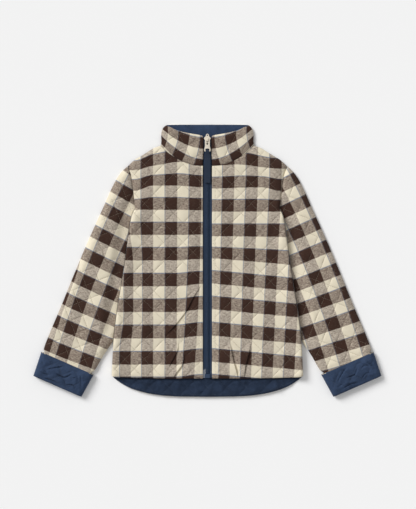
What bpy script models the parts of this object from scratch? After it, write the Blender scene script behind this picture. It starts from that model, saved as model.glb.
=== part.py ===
"""Child's reversible quilted jacket, zipped up and laid flat on its back.

Metres, +Z up, +Y towards the collar. The wearer's left is at +X.
"""
from collections import namedtuple
from math import ceil, cos, floor, pi, radians, sin, sqrt

import bmesh
import bpy
from mathutils import Vector
from mathutils.geometry import delaunay_2d_cdt

MM = 0.001
Point = namedtuple("Point", "out up")
Fold = namedtuple("Fold", "start_out start_up end_out end_up width height")

# Cloth: two faces quilted over thin wadding
WALL = 2.4 * MM
SEAM = 0.3 * MM
LOFT = 3.4 * MM
LOFT_RUN = 24 * MM
QUILT_RISE = 1.8 * MM
LINING_RISE = 1.1 * MM
QUILT_HALF = 17.5 * MM
QUILT_FADE = 9 * MM
EDGE_CLEAR = 5 * MM
FOLD_CLEAR = 10 * MM
OUTLINE_STEP = 15 * MM
FOLD_ROUND = 7 * MM
FOLD_INSETS = (1.2 * MM, 3.4 * MM)

# Height of the folded sides of each flattened tube
SLEEVE_FOLD_Z = 3.6 * MM
COLLAR_FOLD_Z = 4.2 * MM
CUFF_FOLD_Z = 5.8 * MM

# Half outlines in millimetres, out from the zip and up from the middle of the jacket
ZIP_EDGE = 8.3
FRONT_HEM = (Point(8.3, -212.0), Point(60.0, -212.0), Point(130.0, -210.8), Point(164.0, -209.5),
             Point(172.6, -207.0))
BACK_HEM = (Point(0.0, -245.2), Point(60.0, -244.2), Point(95.0, -240.8), Point(122.0, -235.0),
            Point(146.0, -226.0), Point(163.0, -215.5), Point(172.6, -207.0))
BODY_SIDE = (Point(172.6, -207.0), Point(169.2, -144.5), Point(162.5, -88.7), Point(156.6, -52.7),
             Point(149.4, -7.7), Point(144.4, 30.2), Point(137.7, 75.2), Point(130.5, 95.0))
ARMHOLE = (Point(130.5, 95.0), Point(131.6, 105.8), Point(133.2, 121.9), Point(135.9, 141.8),
           Point(138.2, 156.2), Point(143.5, 170.0))
SHOULDER = (Point(143.5, 170.0), Point(131.4, 181.4), Point(119.7, 188.5), Point(108.0, 195.8),
            Point(96.3, 203.0), Point(84.1, 207.2))
NECK_FRONT = (Point(84.1, 207.2), Point(69.0, 192.9), Point(46.8, 179.6), Point(26.1, 172.4),
              Point(8.3, 170.6))
NECK_BACK = (Point(84.1, 207.2), Point(54.0, 197.6), Point(0.0, 193.0))
SLEEVE_OUTER = (Point(293.2, -164.5), Point(294.4, -158.5), Point(286.2, -135.5), Point(261.9, -77.9),
                Point(238.5, -20.3), Point(214.2, 37.4), Point(188.1, 95.0), Point(175.5, 123.8),
                Point(164.7, 145.4), Point(154.8, 159.8), Point(144.1, 169.9))
SLEEVE_GAP = (Point(170.0, -144.5), Point(176.5, -154.5), Point(188.0, -171.5), Point(201.4, -195.0),
              Point(208.6, -200.8))
COLLAR_BASE = Point(83.8, 207.6)
COLLAR_SIDE = (COLLAR_BASE, Point(82.9, 215.5), Point(83.2, 226.4), Point(81.0, 237.2),
               Point(75.8, 243.1))
COLLAR_TOP_FRONT = (Point(75.8, 243.1), Point(67.1, 240.8), Point(52.2, 234.1), Point(31.0, 229.2),
                    Point(8.3, 224.6))
COLLAR_TOP_BACK = (Point(75.8, 243.1), Point(66.0, 245.0), Point(0.0, 245.2))
SIDE_CLEAR = 0.8 * MM

# Turned-back cuff, in its own frame at the middle of its upper edge
CUFF_CENTRE = Vector((251.8, -184.3)) * MM
CUFF_TILT = radians(23.6)
CUFF_TOP_HALF = 51.3 * MM
CUFF_END_HALF = 47.2 * MM
CUFF_DEPTH = 45.5 * MM
CUFF_LIP = 7 * MM
CUFF_RISE = 1.2 * MM
CUFF_SLIT = 1.5 * MM
SLEEVE_IN_CUFF = 5.6 * MM
LIFT_RUN = 30 * MM
SLEEVE_GRAIN = radians(24)
COLLAR_GRAIN = radians(18)

# Largest folds of the fronts, millimetres
FOLDS_RIGHT = (Fold(-15, -54, -73, -132, 12, 2.0), Fold(-56, -143, -60, -212, 11, 1.6))
FOLDS_LEFT = (Fold(55, -143, 64, -212, 11, 2.2),)

# Zip
TAPE_WIDTH = 15 * MM
TAPE_GAP = 0.35 * MM
TAPE_THICK = 0.9 * MM
ZIP_FOOT = -211.0 * MM
ZIP_HEAD = 224.0 * MM
CHAIN_HALF = 3.0 * MM
CHAIN_HIGH = 1.8 * MM
BOX_LONG = 7.5 * MM
BOX_HALF = 4.6 * MM
BOX_HIGH = 2.0 * MM

# Slider and pull, from the middle of the bail
SLIDER_Y = 217.0 * MM
SLIDER_PLATE = 1.2 * MM
SLIDER_FLANGE = 0.9 * MM
SLIDER_HALF_OUTLINE = (Point(0.0, 7.2), Point(3.0, 8.2), Point(5.2, 6.6), Point(5.4, 3.6),
                       Point(4.5, 0.0), Point(4.2, -5.0), Point(3.4, -7.0))
BAIL_WIDE = 2.4 * MM
BAIL_HALF_LONG = 2.8 * MM
BAIL_EYE = 1.3 * MM
BAIL_CROWN = 0.9 * MM
TAB_THICK = 1.2 * MM
TAB_HALF_OUTLINE = (Point(3.0, 0.7), Point(3.0, -6.0), Point(3.4, -11.0), Point(5.2, -14.0),
                    Point(5.2, -19.2), Point(4.2, -20.6))
TAB_WINDOW = (Point(1.6, -0.7), Point(1.6, -4.2))
TAB_SLOT = (Point(3.6, -15.2), Point(3.6, -18.8))
BAR_FROM = -18.8 * MM
BAR_TO = -20.6 * MM
RIBBON_WIDE = 11.2 * MM
RIBBON_NECK = 6.4 * MM
RIBBON_THICK = 1.8 * MM
RIBBON_PLY = 0.8 * MM
RIBBON_LONG = 57 * MM
LOOP_CLEAR = 0.35 * MM

# Turns a flat outline so that it stands on edge along the zip
ON_EDGE = (pi / 2, 0.0, pi / 2)

BACK_TOP = WALL
FRONT_IN = WALL + SEAM
ZIP_FRONT_IN = FRONT_IN + LOFT
TAPE_TOP = ZIP_FRONT_IN - SEAM
CHAIN_FOOT = TAPE_TOP + SEAM
CHAIN_TOP = CHAIN_FOOT + CHAIN_HIGH
PLATE_FOOT = CHAIN_TOP + SEAM
PLATE_TOP = PLATE_FOOT + SLIDER_PLATE
PIVOT_Z = PLATE_TOP + BAIL_EYE

CHECK_CLOTH = ((0.32, 0.27, 0.215), 0.9, 0.0)
NAVY_CLOTH = ((0.042, 0.073, 0.14), 0.85, 0.0)
ZIP_NAVY = ((0.018, 0.026, 0.048), 0.6, 0.0)
CHAMPAGNE = ((0.62, 0.57, 0.48), 0.3, 1.0)

for old in list(bpy.data.objects):
    bpy.data.objects.remove(old, do_unlink=True)
parts = bpy.data.collections.new("reversible_jacket")
cutters = bpy.data.collections.new("cutters")
bpy.context.scene.collection.children.link(parts)
bpy.context.scene.collection.children.link(cutters)


def round_up(share):
    """Quarter-round profile: 0 at an edge, 1 from where the panel is level."""
    share = min(max(share, 0.0), 1.0)
    return sqrt(1.0 - (1.0 - share) ** 2)


def ease(share):
    share = min(max(share, 0.0), 1.0)
    return share * share * (3.0 - 2.0 * share)


def curve(points, step=OUTLINE_STEP):
    """Smooth run through a table of half-outline points, evenly divided."""
    knots = [Vector((p.out, p.up)) * MM for p in points]
    ends = [knots[0] * 2 - knots[1]] + knots + [knots[-1] * 2 - knots[-2]]
    fine = []
    for i in range(1, len(ends) - 2):
        a, b, c, d = ends[i - 1:i + 3]
        for k in range(12):
            t = k / 12
            fine.append(0.5 * (2 * b + (c - a) * t + (2 * a - 5 * b + 4 * c - d) * t ** 2
                               + (3 * b - a - 3 * c + d) * t ** 3))
    fine.append(knots[-1])
    return divide(fine, step)


def divide(line, step=OUTLINE_STEP):
    lengths = [0.0]
    for a, b in zip(line, line[1:]):
        lengths.append(lengths[-1] + (b - a).length)
    count = max(1, round(lengths[-1] / step))
    out = []
    k = 0
    for i in range(count + 1):
        at = lengths[-1] * i / count
        while k < len(line) - 2 and lengths[k + 1] < at:
            k += 1
        share = (at - lengths[k]) / max(lengths[k + 1] - lengths[k], 1e-9)
        out.append(line[k].lerp(line[k + 1], min(share, 1.0)))
    out[0] = line[0].copy()
    out[-1] = line[-1].copy()
    return out


def shifted(line, distance):
    """The run moved to its left by a distance."""
    out = []
    for i, p in enumerate(line):
        ahead = line[min(i + 1, len(line) - 1)] - line[max(i - 1, 0)]
        ahead.normalize()
        out.append(p + Vector((-ahead.y, ahead.x)) * distance)
    return out


def mirrored(line):
    return [Vector((-p.x, p.y)) for p in reversed(line)]


def distance(point, lines):
    best = 1.0
    for line in lines:
        for a, b in zip(line, line[1:]):
            along = b - a
            share = min(max((point - a).dot(along) / max(along.length_squared, 1e-12), 0.0), 1.0)
            best = min(best, (point - a - along * share).length)
    return best


def inside(point, outline):
    odd = False
    for a, b in zip(outline, outline[1:] + outline[:1]):
        if (a.y > point.y) != (b.y > point.y):
            if point.x < a.x + (point.y - a.y) / (b.y - a.y) * (b.x - a.x):
                odd = not odd
    return odd


class Layer:
    """One lying layer of cloth: its outline in runs, and the heights of its two faces."""

    def __init__(self, runs, shown, hidden, fold_z=0.0, corners_on_edge=True):
        self.shown = shown
        self.corners_on_edge = corners_on_edge
        self.hidden = hidden
        self.fold_z = fold_z if callable(fold_z) else (lambda p: fold_z)
        self.outline = []
        self.open_edge = []
        self.folds = [line for line, folded in runs if folded]
        self.opens = [line for line, folded in runs if not folded]
        for line, folded in runs:
            self.outline += line[:-1]
            self.open_edge += [not folded] * (len(line) - 1)
        count = len(self.outline)
        self.on_fold = [not self.open_edge[i] or not self.open_edge[i - 1] for i in range(count)]
        self.inner = [self.inset(i) for i in range(count)]
        self.marks = []
        self.stitches = []
        self.hidden_marks = []

    def inset(self, i):
        """Outline point of the hidden face: a wall further in along a fold."""
        count = len(self.outline)
        here = self.outline[i]
        before = self.outline[i - 1]
        after = self.outline[(i + 1) % count]
        if not self.on_fold[i]:
            return here
        ahead = after - before
        if self.open_edge[i]:
            ahead = here - before
            if self.corners_on_edge:
                return here + (after - here).normalized() * WALL
        elif self.open_edge[i - 1]:
            ahead = after - here
            if self.corners_on_edge:
                return here + (before - here).normalized() * WALL
        ahead.normalize()
        return here + Vector((-ahead.y, ahead.x)) * WALL

    def round_folds(self, insets=FOLD_INSETS):
        """Points beside the folds, so that the folded sides are round."""
        for i, here in enumerate(self.outline):
            count = len(self.outline)
            if self.open_edge[i] or self.open_edge[i - 1]:
                continue
            ahead = (self.outline[(i + 1) % count] - self.outline[i - 1]).normalized()
            for depth in insets:
                self.marks.append((here + Vector((-ahead.y, ahead.x)) * depth, 0.0))

    def clear(self, point):
        return (inside(point, self.outline) and distance(point, self.folds) > FOLD_CLEAR
                and distance(point, self.opens) > EDGE_CLEAR)

    def quilt(self, origin, turn, rise, keep=lambda p: True):
        """Diamonds: low along the stitched lines, full in the middle."""
        across = Vector((cos(turn), sin(turn))) * QUILT_HALF
        along = Vector((-sin(turn), cos(turn))) * QUILT_HALF
        spots = [p - origin for p in self.outline]
        i_all = [s.dot(across) / QUILT_HALF ** 2 for s in spots]
        j_all = [s.dot(along) / QUILT_HALF ** 2 for s in spots]
        numbers = {}

        def mark(i, j, height):
            point = origin + across * i + along * j
            if not (self.clear(point) and keep(point)):
                return
            fade = ease(distance(point, self.folds + self.opens) / QUILT_FADE - 0.3)
            numbers[(i, j)] = len(self.marks)
            self.marks.append((point, rise * height * fade))

        for i in range(floor(min(i_all)), ceil(max(i_all)) + 1):
            for j in range(floor(min(j_all)), ceil(max(j_all)) + 1):
                crossing = (i + j) % 2 == 0
                mark(i, j, 0.0 if crossing else 1.0)
                mark(i + 0.5, j + 0.5, 0.0)
                if not crossing:
                    for di, dj in ((0.26, 0.26), (-0.26, 0.26), (-0.26, -0.26), (0.26, -0.26)):
                        mark(i + di, j + dj, 0.78)
                point = origin + across * i + along * j
                if self.clear(point) and distance(point, self.folds + self.opens) > EDGE_CLEAR * 1.6:
                    self.hidden_marks.append((point, 0.0))
        for (i, j), number in list(numbers.items()):
            if i == floor(i) and (i + j) % 2 == 0:
                for di in (-0.5, 0.5):
                    for dj in (-0.5, 0.5):
                        if (i + di, j + dj) in numbers:
                            self.stitches.append((number, numbers[(i + di, j + dj)]))

    def grid(self, step, marks, margin):
        """Plain supporting points for a face without quilting."""
        low = Vector((min(p.x for p in self.outline), min(p.y for p in self.outline)))
        high = Vector((max(p.x for p in self.outline), max(p.y for p in self.outline)))
        for i in range(int((high.x - low.x) / step) + 1):
            for j in range(int((high.y - low.y) / step) + 1):
                point = low + Vector((i + 0.5, j + 0.5)) * step
                if inside(point, self.outline) and distance(point, self.folds + self.opens) > margin:
                    marks.append((point, 0.0))


def skin(bm, outline, fold_flags, fold_z, marks, stitches, height):
    """One face of a layer, triangulated over its outline and marks."""
    count = len(outline)
    points = list(outline) + [point for point, rise in marks]
    edges = [(count + a, count + b) for a, b in stitches]
    flat, _, faces, origin, _, _ = delaunay_2d_cdt(points, edges, [list(range(count))], 1, 1e-7)
    verts = []
    at_outline = [None] * count
    for point, sources in zip(flat, origin):
        rise = 0.0
        folded = None
        for source in sources:
            if source < count:
                if fold_flags[source]:
                    folded = source
            else:
                rise = max(rise, marks[source - count][1])
        place = height(point) + rise if folded is None else fold_z[folded]
        vert = bm.verts.new((point.x, point.y, place))
        verts.append(vert)
        for source in sources:
            if source < count:
                at_outline[source] = vert
    for face in faces:
        bm.faces.new([verts[i] for i in face])
    return at_outline


def cloth(name, layers, look):
    """A closed wall: the shown and hidden faces of each layer, joined along its open edges."""
    bm = bmesh.new()
    for layer in layers:
        fold_z = [layer.fold_z(p) for p in layer.outline]
        shown = skin(bm, layer.outline, layer.on_fold, fold_z, layer.marks, layer.stitches, layer.shown)
        hidden = skin(bm, layer.inner, layer.on_fold, fold_z, layer.hidden_marks, [], layer.hidden)
        count = len(layer.outline)
        for i in range(count):
            if layer.open_edge[i]:
                j = (i + 1) % count
                bm.faces.new((shown[i], shown[j], hidden[j], hidden[i]))
    bmesh.ops.remove_doubles(bm, verts=bm.verts, dist=1e-6)
    bmesh.ops.recalc_face_normals(bm, faces=bm.faces)
    return add_mesh(name, bm, look)


def material(name, look):
    colour, rough, metal = look
    made = bpy.data.materials.new(name)
    made.use_nodes = True
    shader = made.node_tree.nodes["Principled BSDF"]
    shader.inputs["Base Color"].default_value = (*colour, 1.0)
    shader.inputs["Roughness"].default_value = rough
    shader.inputs["Metallic"].default_value = metal
    made.diffuse_color = (*colour, 1.0)
    return made


def add_mesh(name, bm, look):
    mesh = bpy.data.meshes.new(name)
    bm.to_mesh(mesh)
    bm.free()
    mesh.shade_smooth()
    mesh.set_sharp_from_angle(angle=radians(40))
    mesh.materials.append(material(name, look))
    made = bpy.data.objects.new(name, mesh)
    parts.objects.link(made)
    return made


def block(name, low, high, look, bevel=0.0):
    """A box between two opposite corners."""
    low = Vector(low)
    high = Vector(high)
    bpy.ops.mesh.primitive_cube_add(size=1.0, location=(low + high) / 2)
    made = bpy.context.object
    made.name = name
    made.scale = high - low
    bpy.ops.object.transform_apply(location=False, rotation=False, scale=True)
    for collection in list(made.users_collection):
        collection.objects.unlink(made)
    parts.objects.link(made)
    made.data.materials.append(material(name, look))
    if bevel:
        edge = made.modifiers.new("Rounded edges", "BEVEL")
        edge.width = bevel
        edge.segments = 2
    return made


def cut_sheet(name, outlines, thick, look, location, rotation=(0.0, 0.0, 0.0)):
    """A flat outline with its holes, given thickness: a filled curve made into a closed mesh."""
    line = bpy.data.curves.new(name, "CURVE")
    line.dimensions = "2D"
    line.fill_mode = "BOTH"
    line.extrude = thick / 2
    for outline in outlines:
        spline = line.splines.new("POLY")
        spline.points.add(len(outline) - 1)
        for point, (x, y) in zip(spline.points, outline):
            point.co = (x, y, 0.0, 1.0)
        spline.use_cyclic_u = True
    source = bpy.data.objects.new(name + "_outline", line)
    source.location = location
    source.rotation_euler = rotation
    parts.objects.link(source)
    bpy.context.view_layer.update()
    shape = source.evaluated_get(bpy.context.evaluated_depsgraph_get())
    bm = bmesh.new()
    bm.from_mesh(bpy.data.meshes.new_from_object(shape))
    bmesh.ops.remove_doubles(bm, verts=bm.verts, dist=1e-6)
    bmesh.ops.recalc_face_normals(bm, faces=bm.faces)
    made = add_mesh(name, bm, look)
    made.matrix_world = source.matrix_world
    bpy.data.objects.remove(source, do_unlink=True)
    return made


def join(made, tool):
    """Boolean union with a tool that is kept out of the parts."""
    parts.objects.unlink(tool)
    cutters.objects.link(tool)
    tool.hide_render = True
    tool.display_type = "WIRE"
    step = made.modifiers.new("Join " + tool.name, "BOOLEAN")
    step.operation = "UNION"
    step.solver = "EXACT"
    step.object = tool


def both_sides(points):
    """A half outline and its mirror image, as one closed loop in metres."""
    half = [(p.out * MM, p.up * MM) for p in points]
    other = [(-x, y) for x, y in reversed(half) if x > 0]
    return half + other


def fold_height(point, folds):
    """Height of the soft folds pressed up in a front."""
    total = 0.0
    for fold in folds:
        start = Vector((fold.start_out, fold.start_up)) * MM
        along = Vector((fold.end_out, fold.end_up)) * MM - start
        share = (point - start).dot(along) / along.length_squared
        side = (point - start - along * min(max(share, 0.0), 1.0)).length / (fold.width * MM)
        total += fold.height * MM * ease(1.0 - side / 2.0) * ease(min(share * 4.0 + 0.6, 1.0))
    return total


# Back
def make_back():
    right = (curve(BACK_HEM)[:-1] + curve(BODY_SIDE)[:-1] + curve(ARMHOLE)[:-1] + curve(SHOULDER)[:-1]
             + curve(NECK_BACK))
    outline = right + mirrored(right)[1:]
    hem = curve(FRONT_HEM)
    back = Layer([(outline, False)], lambda p: BACK_TOP, lambda p: 0.0)
    shown_strip = [*hem[:-1], *curve(BACK_HEM)[::-1]]
    strip = shown_strip + mirrored(shown_strip)
    back.quilt(Vector((0.0, -228.0 * MM)), 0.0, LINING_RISE,
               lambda p: inside(p, strip) and distance(p, [hem, mirrored(hem)]) > EDGE_CLEAR)
    back.hidden_marks = []
    back.grid(62 * MM, back.hidden_marks, 20 * MM)
    back.grid(62 * MM, back.marks, 20 * MM)
    return cloth("back_panel", [back], NAVY_CLOTH)


# Fronts
def make_front(name, side, folds):
    low = [curve(BODY_SIDE), curve(ARMHOLE), curve(SHOULDER)]
    zip_edge = divide([Vector((ZIP_EDGE, 170.6)) * MM, Vector((ZIP_EDGE, -212.0)) * MM], OUTLINE_STEP)
    runs = [curve(FRONT_HEM), *low, curve(NECK_FRONT), zip_edge]
    if side < 0:
        runs = [mirrored(line) for line in reversed(runs)]
        low = [mirrored(line) for line in low]

    def under(p):
        return FRONT_IN + LOFT * round_up(distance(p, low) / LOFT_RUN) + fold_height(p, folds)

    front = Layer([(line, False) for line in runs], lambda p: under(p) + WALL, under)
    front.quilt(Vector((side * 26.0, -194.5)) * MM, 0.0, QUILT_RISE)
    return cloth(name, [front], CHECK_CLOTH)


# Sleeves and cuffs
def cuff_point(u, v):
    across = Vector((cos(CUFF_TILT), sin(CUFF_TILT)))
    down = Vector((sin(CUFF_TILT), -cos(CUFF_TILT)))
    return CUFF_CENTRE + across * u + down * v


def cuff_v(point):
    return (Vector((abs(point.x), point.y)) - CUFF_CENTRE).dot(Vector((sin(CUFF_TILT), -cos(CUFF_TILT))))


def cuff_half(v):
    share = v / CUFF_DEPTH
    return CUFF_TOP_HALF + (CUFF_END_HALF - CUFF_TOP_HALF) * share


def make_sleeve(name, side):
    end_v = CUFF_DEPTH - CUFF_LIP - SEAM
    end_half = cuff_half(end_v) - SLEEVE_IN_CUFF
    top_half = cuff_half(0.0) - SLEEVE_IN_CUFF
    end = divide([cuff_point(-end_half, end_v), cuff_point(end_half, end_v)])
    outer_in_cuff = divide([cuff_point(end_half, end_v), cuff_point(top_half, 0.5 * MM)])
    inner_in_cuff = divide([cuff_point(-top_half, 0.5 * MM), cuff_point(-end_half, end_v)])
    outer = outer_in_cuff[:-1] + curve(SLEEVE_OUTER)
    armhole = [outer[-1]] + shifted(curve(ARMHOLE), -SEAM)[::-1][1:]
    beside = shifted(curve(BODY_SIDE), -SIDE_CLEAR)[::-1]
    beside = [p for p in beside if p.y > -140 * MM]
    beside[0] = armhole[-1]
    inner = beside + curve(SLEEVE_GAP) + inner_in_cuff
    runs = [(end, False), (outer, True), (armhole, False), (inner, True)]
    if side < 0:
        runs = [(mirrored(line), folded) for line, folded in reversed(runs)]
    folds = [line for line, folded in runs if folded]
    armhole = runs[2][0] if side > 0 else runs[1][0]
    in_cuff = WALL + SEAM

    def lift(p):
        return in_cuff * ease((cuff_v(p) + LIFT_RUN) / (LIFT_RUN - 3 * MM))

    def fold_z(p):
        return SLEEVE_FOLD_Z + lift(p) * 0.85

    def upper_in(p):
        open_gap = SEAM + LOFT * round_up(distance(p, [armhole]) / LOFT_RUN)
        gap = open_gap + (CUFF_SLIT - open_gap) * ease((cuff_v(p) + LIFT_RUN) / (LIFT_RUN - 3 * MM))
        near = ease(distance(p, folds) / (2.5 * FOLD_ROUND) + 0.35)
        return WALL + lift(p) + gap * near

    def upper_out(p):
        crest = upper_in(p) + WALL
        return fold_z(p) + (crest - fold_z(p)) * round_up(distance(p, folds) / FOLD_ROUND)

    def lower_out(p):
        return lift(p) + (fold_z(p) - lift(p)) * (1.0 - round_up(distance(p, folds) / (0.7 * FOLD_ROUND)))

    upper = Layer(runs, upper_out, upper_in, fold_z)
    lower = Layer(runs, lower_out, lambda p: WALL + lift(p), fold_z)
    rows = (-31, -24, -17, -10, -3, 12, 26)
    for v in rows:
        for share in (-0.8, -0.4, 0.0, 0.4, 0.8):
            u = share * (cuff_half(0.0) - SLEEVE_IN_CUFF)
            spot = cuff_point(u, v * MM)
            spot.x *= side
            lower.marks.append((spot, 0.0))
            lower.hidden_marks.append((spot, 0.0))
            if v > -10:
                upper.marks.append((spot, 0.0))
                upper.hidden_marks.append((spot, 0.0))
    upper.round_folds()
    lower.round_folds(FOLD_INSETS[1:])
    upper.quilt(Vector((side * 190.0, 20.0)) * MM, side * SLEEVE_GRAIN, QUILT_RISE,
                lambda p: cuff_v(p) < -7 * MM)
    upper.hidden_marks = [mark for mark in upper.hidden_marks if not -7 * MM < cuff_v(mark[0]) < -5 * MM]
    return cloth(name, [upper, lower], CHECK_CLOTH)


def make_cuff(name, side):
    corners = (4.0 * MM, 8.0 * MM)

    def straight(half, v):
        near = [-half, *[-half + c for c in corners], -half / 3]
        return [cuff_point(u, v) for u in near + [-u for u in reversed(near)]]

    mouth = straight(CUFF_END_HALF, CUFF_DEPTH)
    edge = straight(CUFF_TOP_HALF, 0.0)[::-1]
    outer = divide([mouth[-1], edge[0]], OUTLINE_STEP)
    inner = divide([edge[-1], mouth[0]], OUTLINE_STEP)
    runs = [(mouth, False), (outer, True), (edge, False), (inner, True)]
    if side < 0:
        runs = [(mirrored(line), folded) for line, folded in reversed(runs)]
    folds = [line for line, folded in runs if folded]
    sleeve_high = 2 * WALL + CUFF_SLIT
    upper_foot = WALL + SEAM + sleeve_high + SEAM

    def lip(p):
        return ease((cuff_v(p) - CUFF_DEPTH + CUFF_LIP) / (0.25 * MM))

    def upper_in(p):
        return upper_foot - (WALL + SEAM) * lip(p)

    def upper_out(p):
        crest = upper_foot + WALL
        return CUFF_FOLD_Z + (crest - CUFF_FOLD_Z) * round_up(distance(p, folds) / FOLD_ROUND)

    def lower_in(p):
        return WALL + (WALL + SEAM) * lip(p)

    def lower_out(p):
        return CUFF_FOLD_Z * (1.0 - round_up(distance(p, folds) / (0.7 * FOLD_ROUND)))

    upper = Layer(runs, upper_out, upper_in, CUFF_FOLD_Z)
    lower = Layer(runs, lower_out, lower_in, CUFF_FOLD_Z)
    for v in (CUFF_DEPTH - CUFF_LIP + 0.3 * MM, CUFF_DEPTH - CUFF_LIP, 25 * MM, 12 * MM):
        half = cuff_half(v) - WALL
        for u in (-half + 2.4 * MM, -half / 3, half / 3, half - 2.4 * MM):
            spot = cuff_point(u, v)
            spot.x *= side
            upper.hidden_marks.append((spot, 0.0))
            lower.hidden_marks.append((spot, 0.0))
    upper.round_folds()
    lower.round_folds(FOLD_INSETS[1:])
    plain = list(upper.hidden_marks)
    centre = cuff_point(0.0, 0.5 * CUFF_DEPTH)
    upper.quilt(Vector((side * centre.x, centre.y)), side * CUFF_TILT, CUFF_RISE)
    upper.hidden_marks = plain
    return cloth(name, [upper, lower], NAVY_CLOTH)


# Collar
def make_collar():
    base = Vector((COLLAR_BASE.out, COLLAR_BASE.up)) * MM
    fold = curve(COLLAR_SIDE, 0.6 * OUTLINE_STEP)
    front_seam = [base] + shifted(curve(NECK_FRONT), -SEAM)[1:]
    front_seam[-1].x = ZIP_EDGE * MM
    back_seam = [base] + shifted(curve(NECK_BACK), -SEAM)[1:]
    front_top = curve(COLLAR_TOP_FRONT)
    zip_edge = divide([front_top[-1], front_seam[-1]])
    back_top = curve(COLLAR_TOP_BACK)
    front_runs = [(front_seam[::-1], False), (fold, True), (front_top, False), (zip_edge, False)]
    folds = [fold, mirrored(fold)]

    def front_in(p):
        return FRONT_IN + LOFT * round_up(distance(p, folds) / LOFT_RUN)

    def front_out(p):
        crest = front_in(p) + WALL
        return COLLAR_FOLD_Z + (crest - COLLAR_FOLD_Z) * round_up(distance(p, folds) / FOLD_ROUND)

    def back_out(p):
        return COLLAR_FOLD_Z * (1.0 - round_up(distance(p, folds) / (0.7 * FOLD_ROUND)))

    layers = []
    for side in (1, -1):
        runs = front_runs
        if side < 0:
            runs = [(mirrored(line), folded) for line, folded in reversed(front_runs)]
        front = Layer(runs, front_out, front_in, COLLAR_FOLD_Z, False)
        front.round_folds()
        front.quilt(Vector((side * 40.0, 205.0)) * MM, side * COLLAR_GRAIN, QUILT_RISE)
        layers.append(front)
    back_runs = [(fold, True), (back_top + mirrored(back_top)[1:], False), (mirrored(fold), True),
                 (mirrored(back_seam[::-1])[:-1] + back_seam[::-1], False)]
    back = Layer(back_runs, back_out, lambda p: BACK_TOP, COLLAR_FOLD_Z, False)
    back.round_folds(FOLD_INSETS[1:])
    layers.append(back)
    return cloth("collar", layers, CHECK_CLOTH)


# Zip
def make_zip():
    tape_foot = TAPE_TOP - TAPE_THICK
    block("zip_tape_left", (TAPE_GAP, ZIP_FOOT, tape_foot), (TAPE_WIDTH, ZIP_HEAD, TAPE_TOP), ZIP_NAVY)
    block("zip_tape_right", (-TAPE_WIDTH, ZIP_FOOT, tape_foot), (-TAPE_GAP, ZIP_HEAD, TAPE_TOP), ZIP_NAVY)
    block("zip_chain", (-CHAIN_HALF, ZIP_FOOT + BOX_LONG + SEAM, CHAIN_FOOT),
          (CHAIN_HALF, ZIP_HEAD - 2 * MM, CHAIN_TOP), ZIP_NAVY, 0.6 * MM)
    block("zip_box", (-BOX_HALF, ZIP_FOOT, CHAIN_FOOT),
          (BOX_HALF, ZIP_FOOT + BOX_LONG, CHAIN_FOOT + BOX_HIGH), ZIP_NAVY, 0.4 * MM)


def make_slider():
    slider = cut_sheet("zip_slider", [both_sides(SLIDER_HALF_OUTLINE)], SLIDER_PLATE, CHAMPAGNE,
                       (0.0, SLIDER_Y, PLATE_FOOT + SLIDER_PLATE / 2))
    near = CHAIN_HALF + SEAM
    far = near + SLIDER_FLANGE
    for name, low_x, high_x in (("flange_left", near, far), ("flange_right", -far, -near)):
        flange = block(name, (low_x, SLIDER_Y - 5.2 * MM, TAPE_TOP + SEAM),
                       (high_x, SLIDER_Y + 5.4 * MM, PLATE_FOOT + SLIDER_PLATE / 2), CHAMPAGNE)
        join(slider, flange)
    foot = -BAIL_EYE - SLIDER_PLATE / 2
    top = BAIL_EYE + BAIL_CROWN
    half_long = BAIL_HALF_LONG
    arch = [(-half_long, foot), (half_long, foot), (half_long, top - 1.2 * MM), (half_long - 1.0 * MM, top),
            (1.0 * MM - half_long, top), (-half_long, top - 1.2 * MM)]
    eye = [(-BAIL_EYE, -BAIL_EYE), (BAIL_EYE, -BAIL_EYE), (BAIL_EYE, BAIL_EYE), (-BAIL_EYE, BAIL_EYE)]
    bail = cut_sheet("bail", [arch, eye], BAIL_WIDE, CHAMPAGNE, (0.0, SLIDER_Y, PIVOT_Z), ON_EDGE)
    join(slider, bail)


def make_pull():
    """Tab and ribbon, on an empty at the bail's axis, about which they turn."""
    hinge = bpy.data.objects.new("pull_hinge", None)
    hinge.location = (0.0, SLIDER_Y, PIVOT_Z)
    hinge.empty_display_size = 0.01
    parts.objects.link(hinge)
    outlines = [both_sides(TAB_HALF_OUTLINE), both_sides(TAB_WINDOW), both_sides(TAB_SLOT)]
    tab = cut_sheet("pull_tab", outlines, TAB_THICK, CHAMPAGNE, (0.0, 0.0, 0.0))
    tab.parent = hinge

    # The ribbon's side profile: a loop round the tab's lower bar, then two plies lying on the chain
    bar = (BAR_FROM + BAR_TO) / 2
    eye_long = (BAR_FROM - BAR_TO) / 2 + LOOP_CLEAR
    eye_high = TAB_THICK / 2 + LOOP_CLEAR
    rest = CHAIN_TOP + SEAM - PIVOT_Z
    end = bar - RIBBON_LONG
    profile = [(bar + eye_long + RIBBON_PLY, 0.0), (bar + eye_long, eye_high + RIBBON_PLY),
               (bar - eye_long, eye_high + RIBBON_PLY), (bar - 6 * MM, rest + RIBBON_THICK + 0.6 * MM),
               (bar - 14 * MM, rest + RIBBON_THICK), (end, rest + RIBBON_THICK), (end, rest),
               (bar - 12 * MM, rest),
               (bar - eye_long, -eye_high - RIBBON_PLY), (bar + eye_long, -eye_high - RIBBON_PLY)]
    eye = [(bar - eye_long, -eye_high), (bar + eye_long, -eye_high), (bar + eye_long, eye_high),
           (bar - eye_long, eye_high)]
    ribbon = cut_sheet("pull_ribbon", [profile, eye], RIBBON_WIDE, ZIP_NAVY, (0.0, 0.0, 0.0), ON_EDGE)
    for vert in ribbon.data.vertices:
        if vert.co.x > bar - 4 * MM:
            vert.co.z *= RIBBON_NECK / RIBBON_WIDE
    ribbon.parent = hinge


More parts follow.
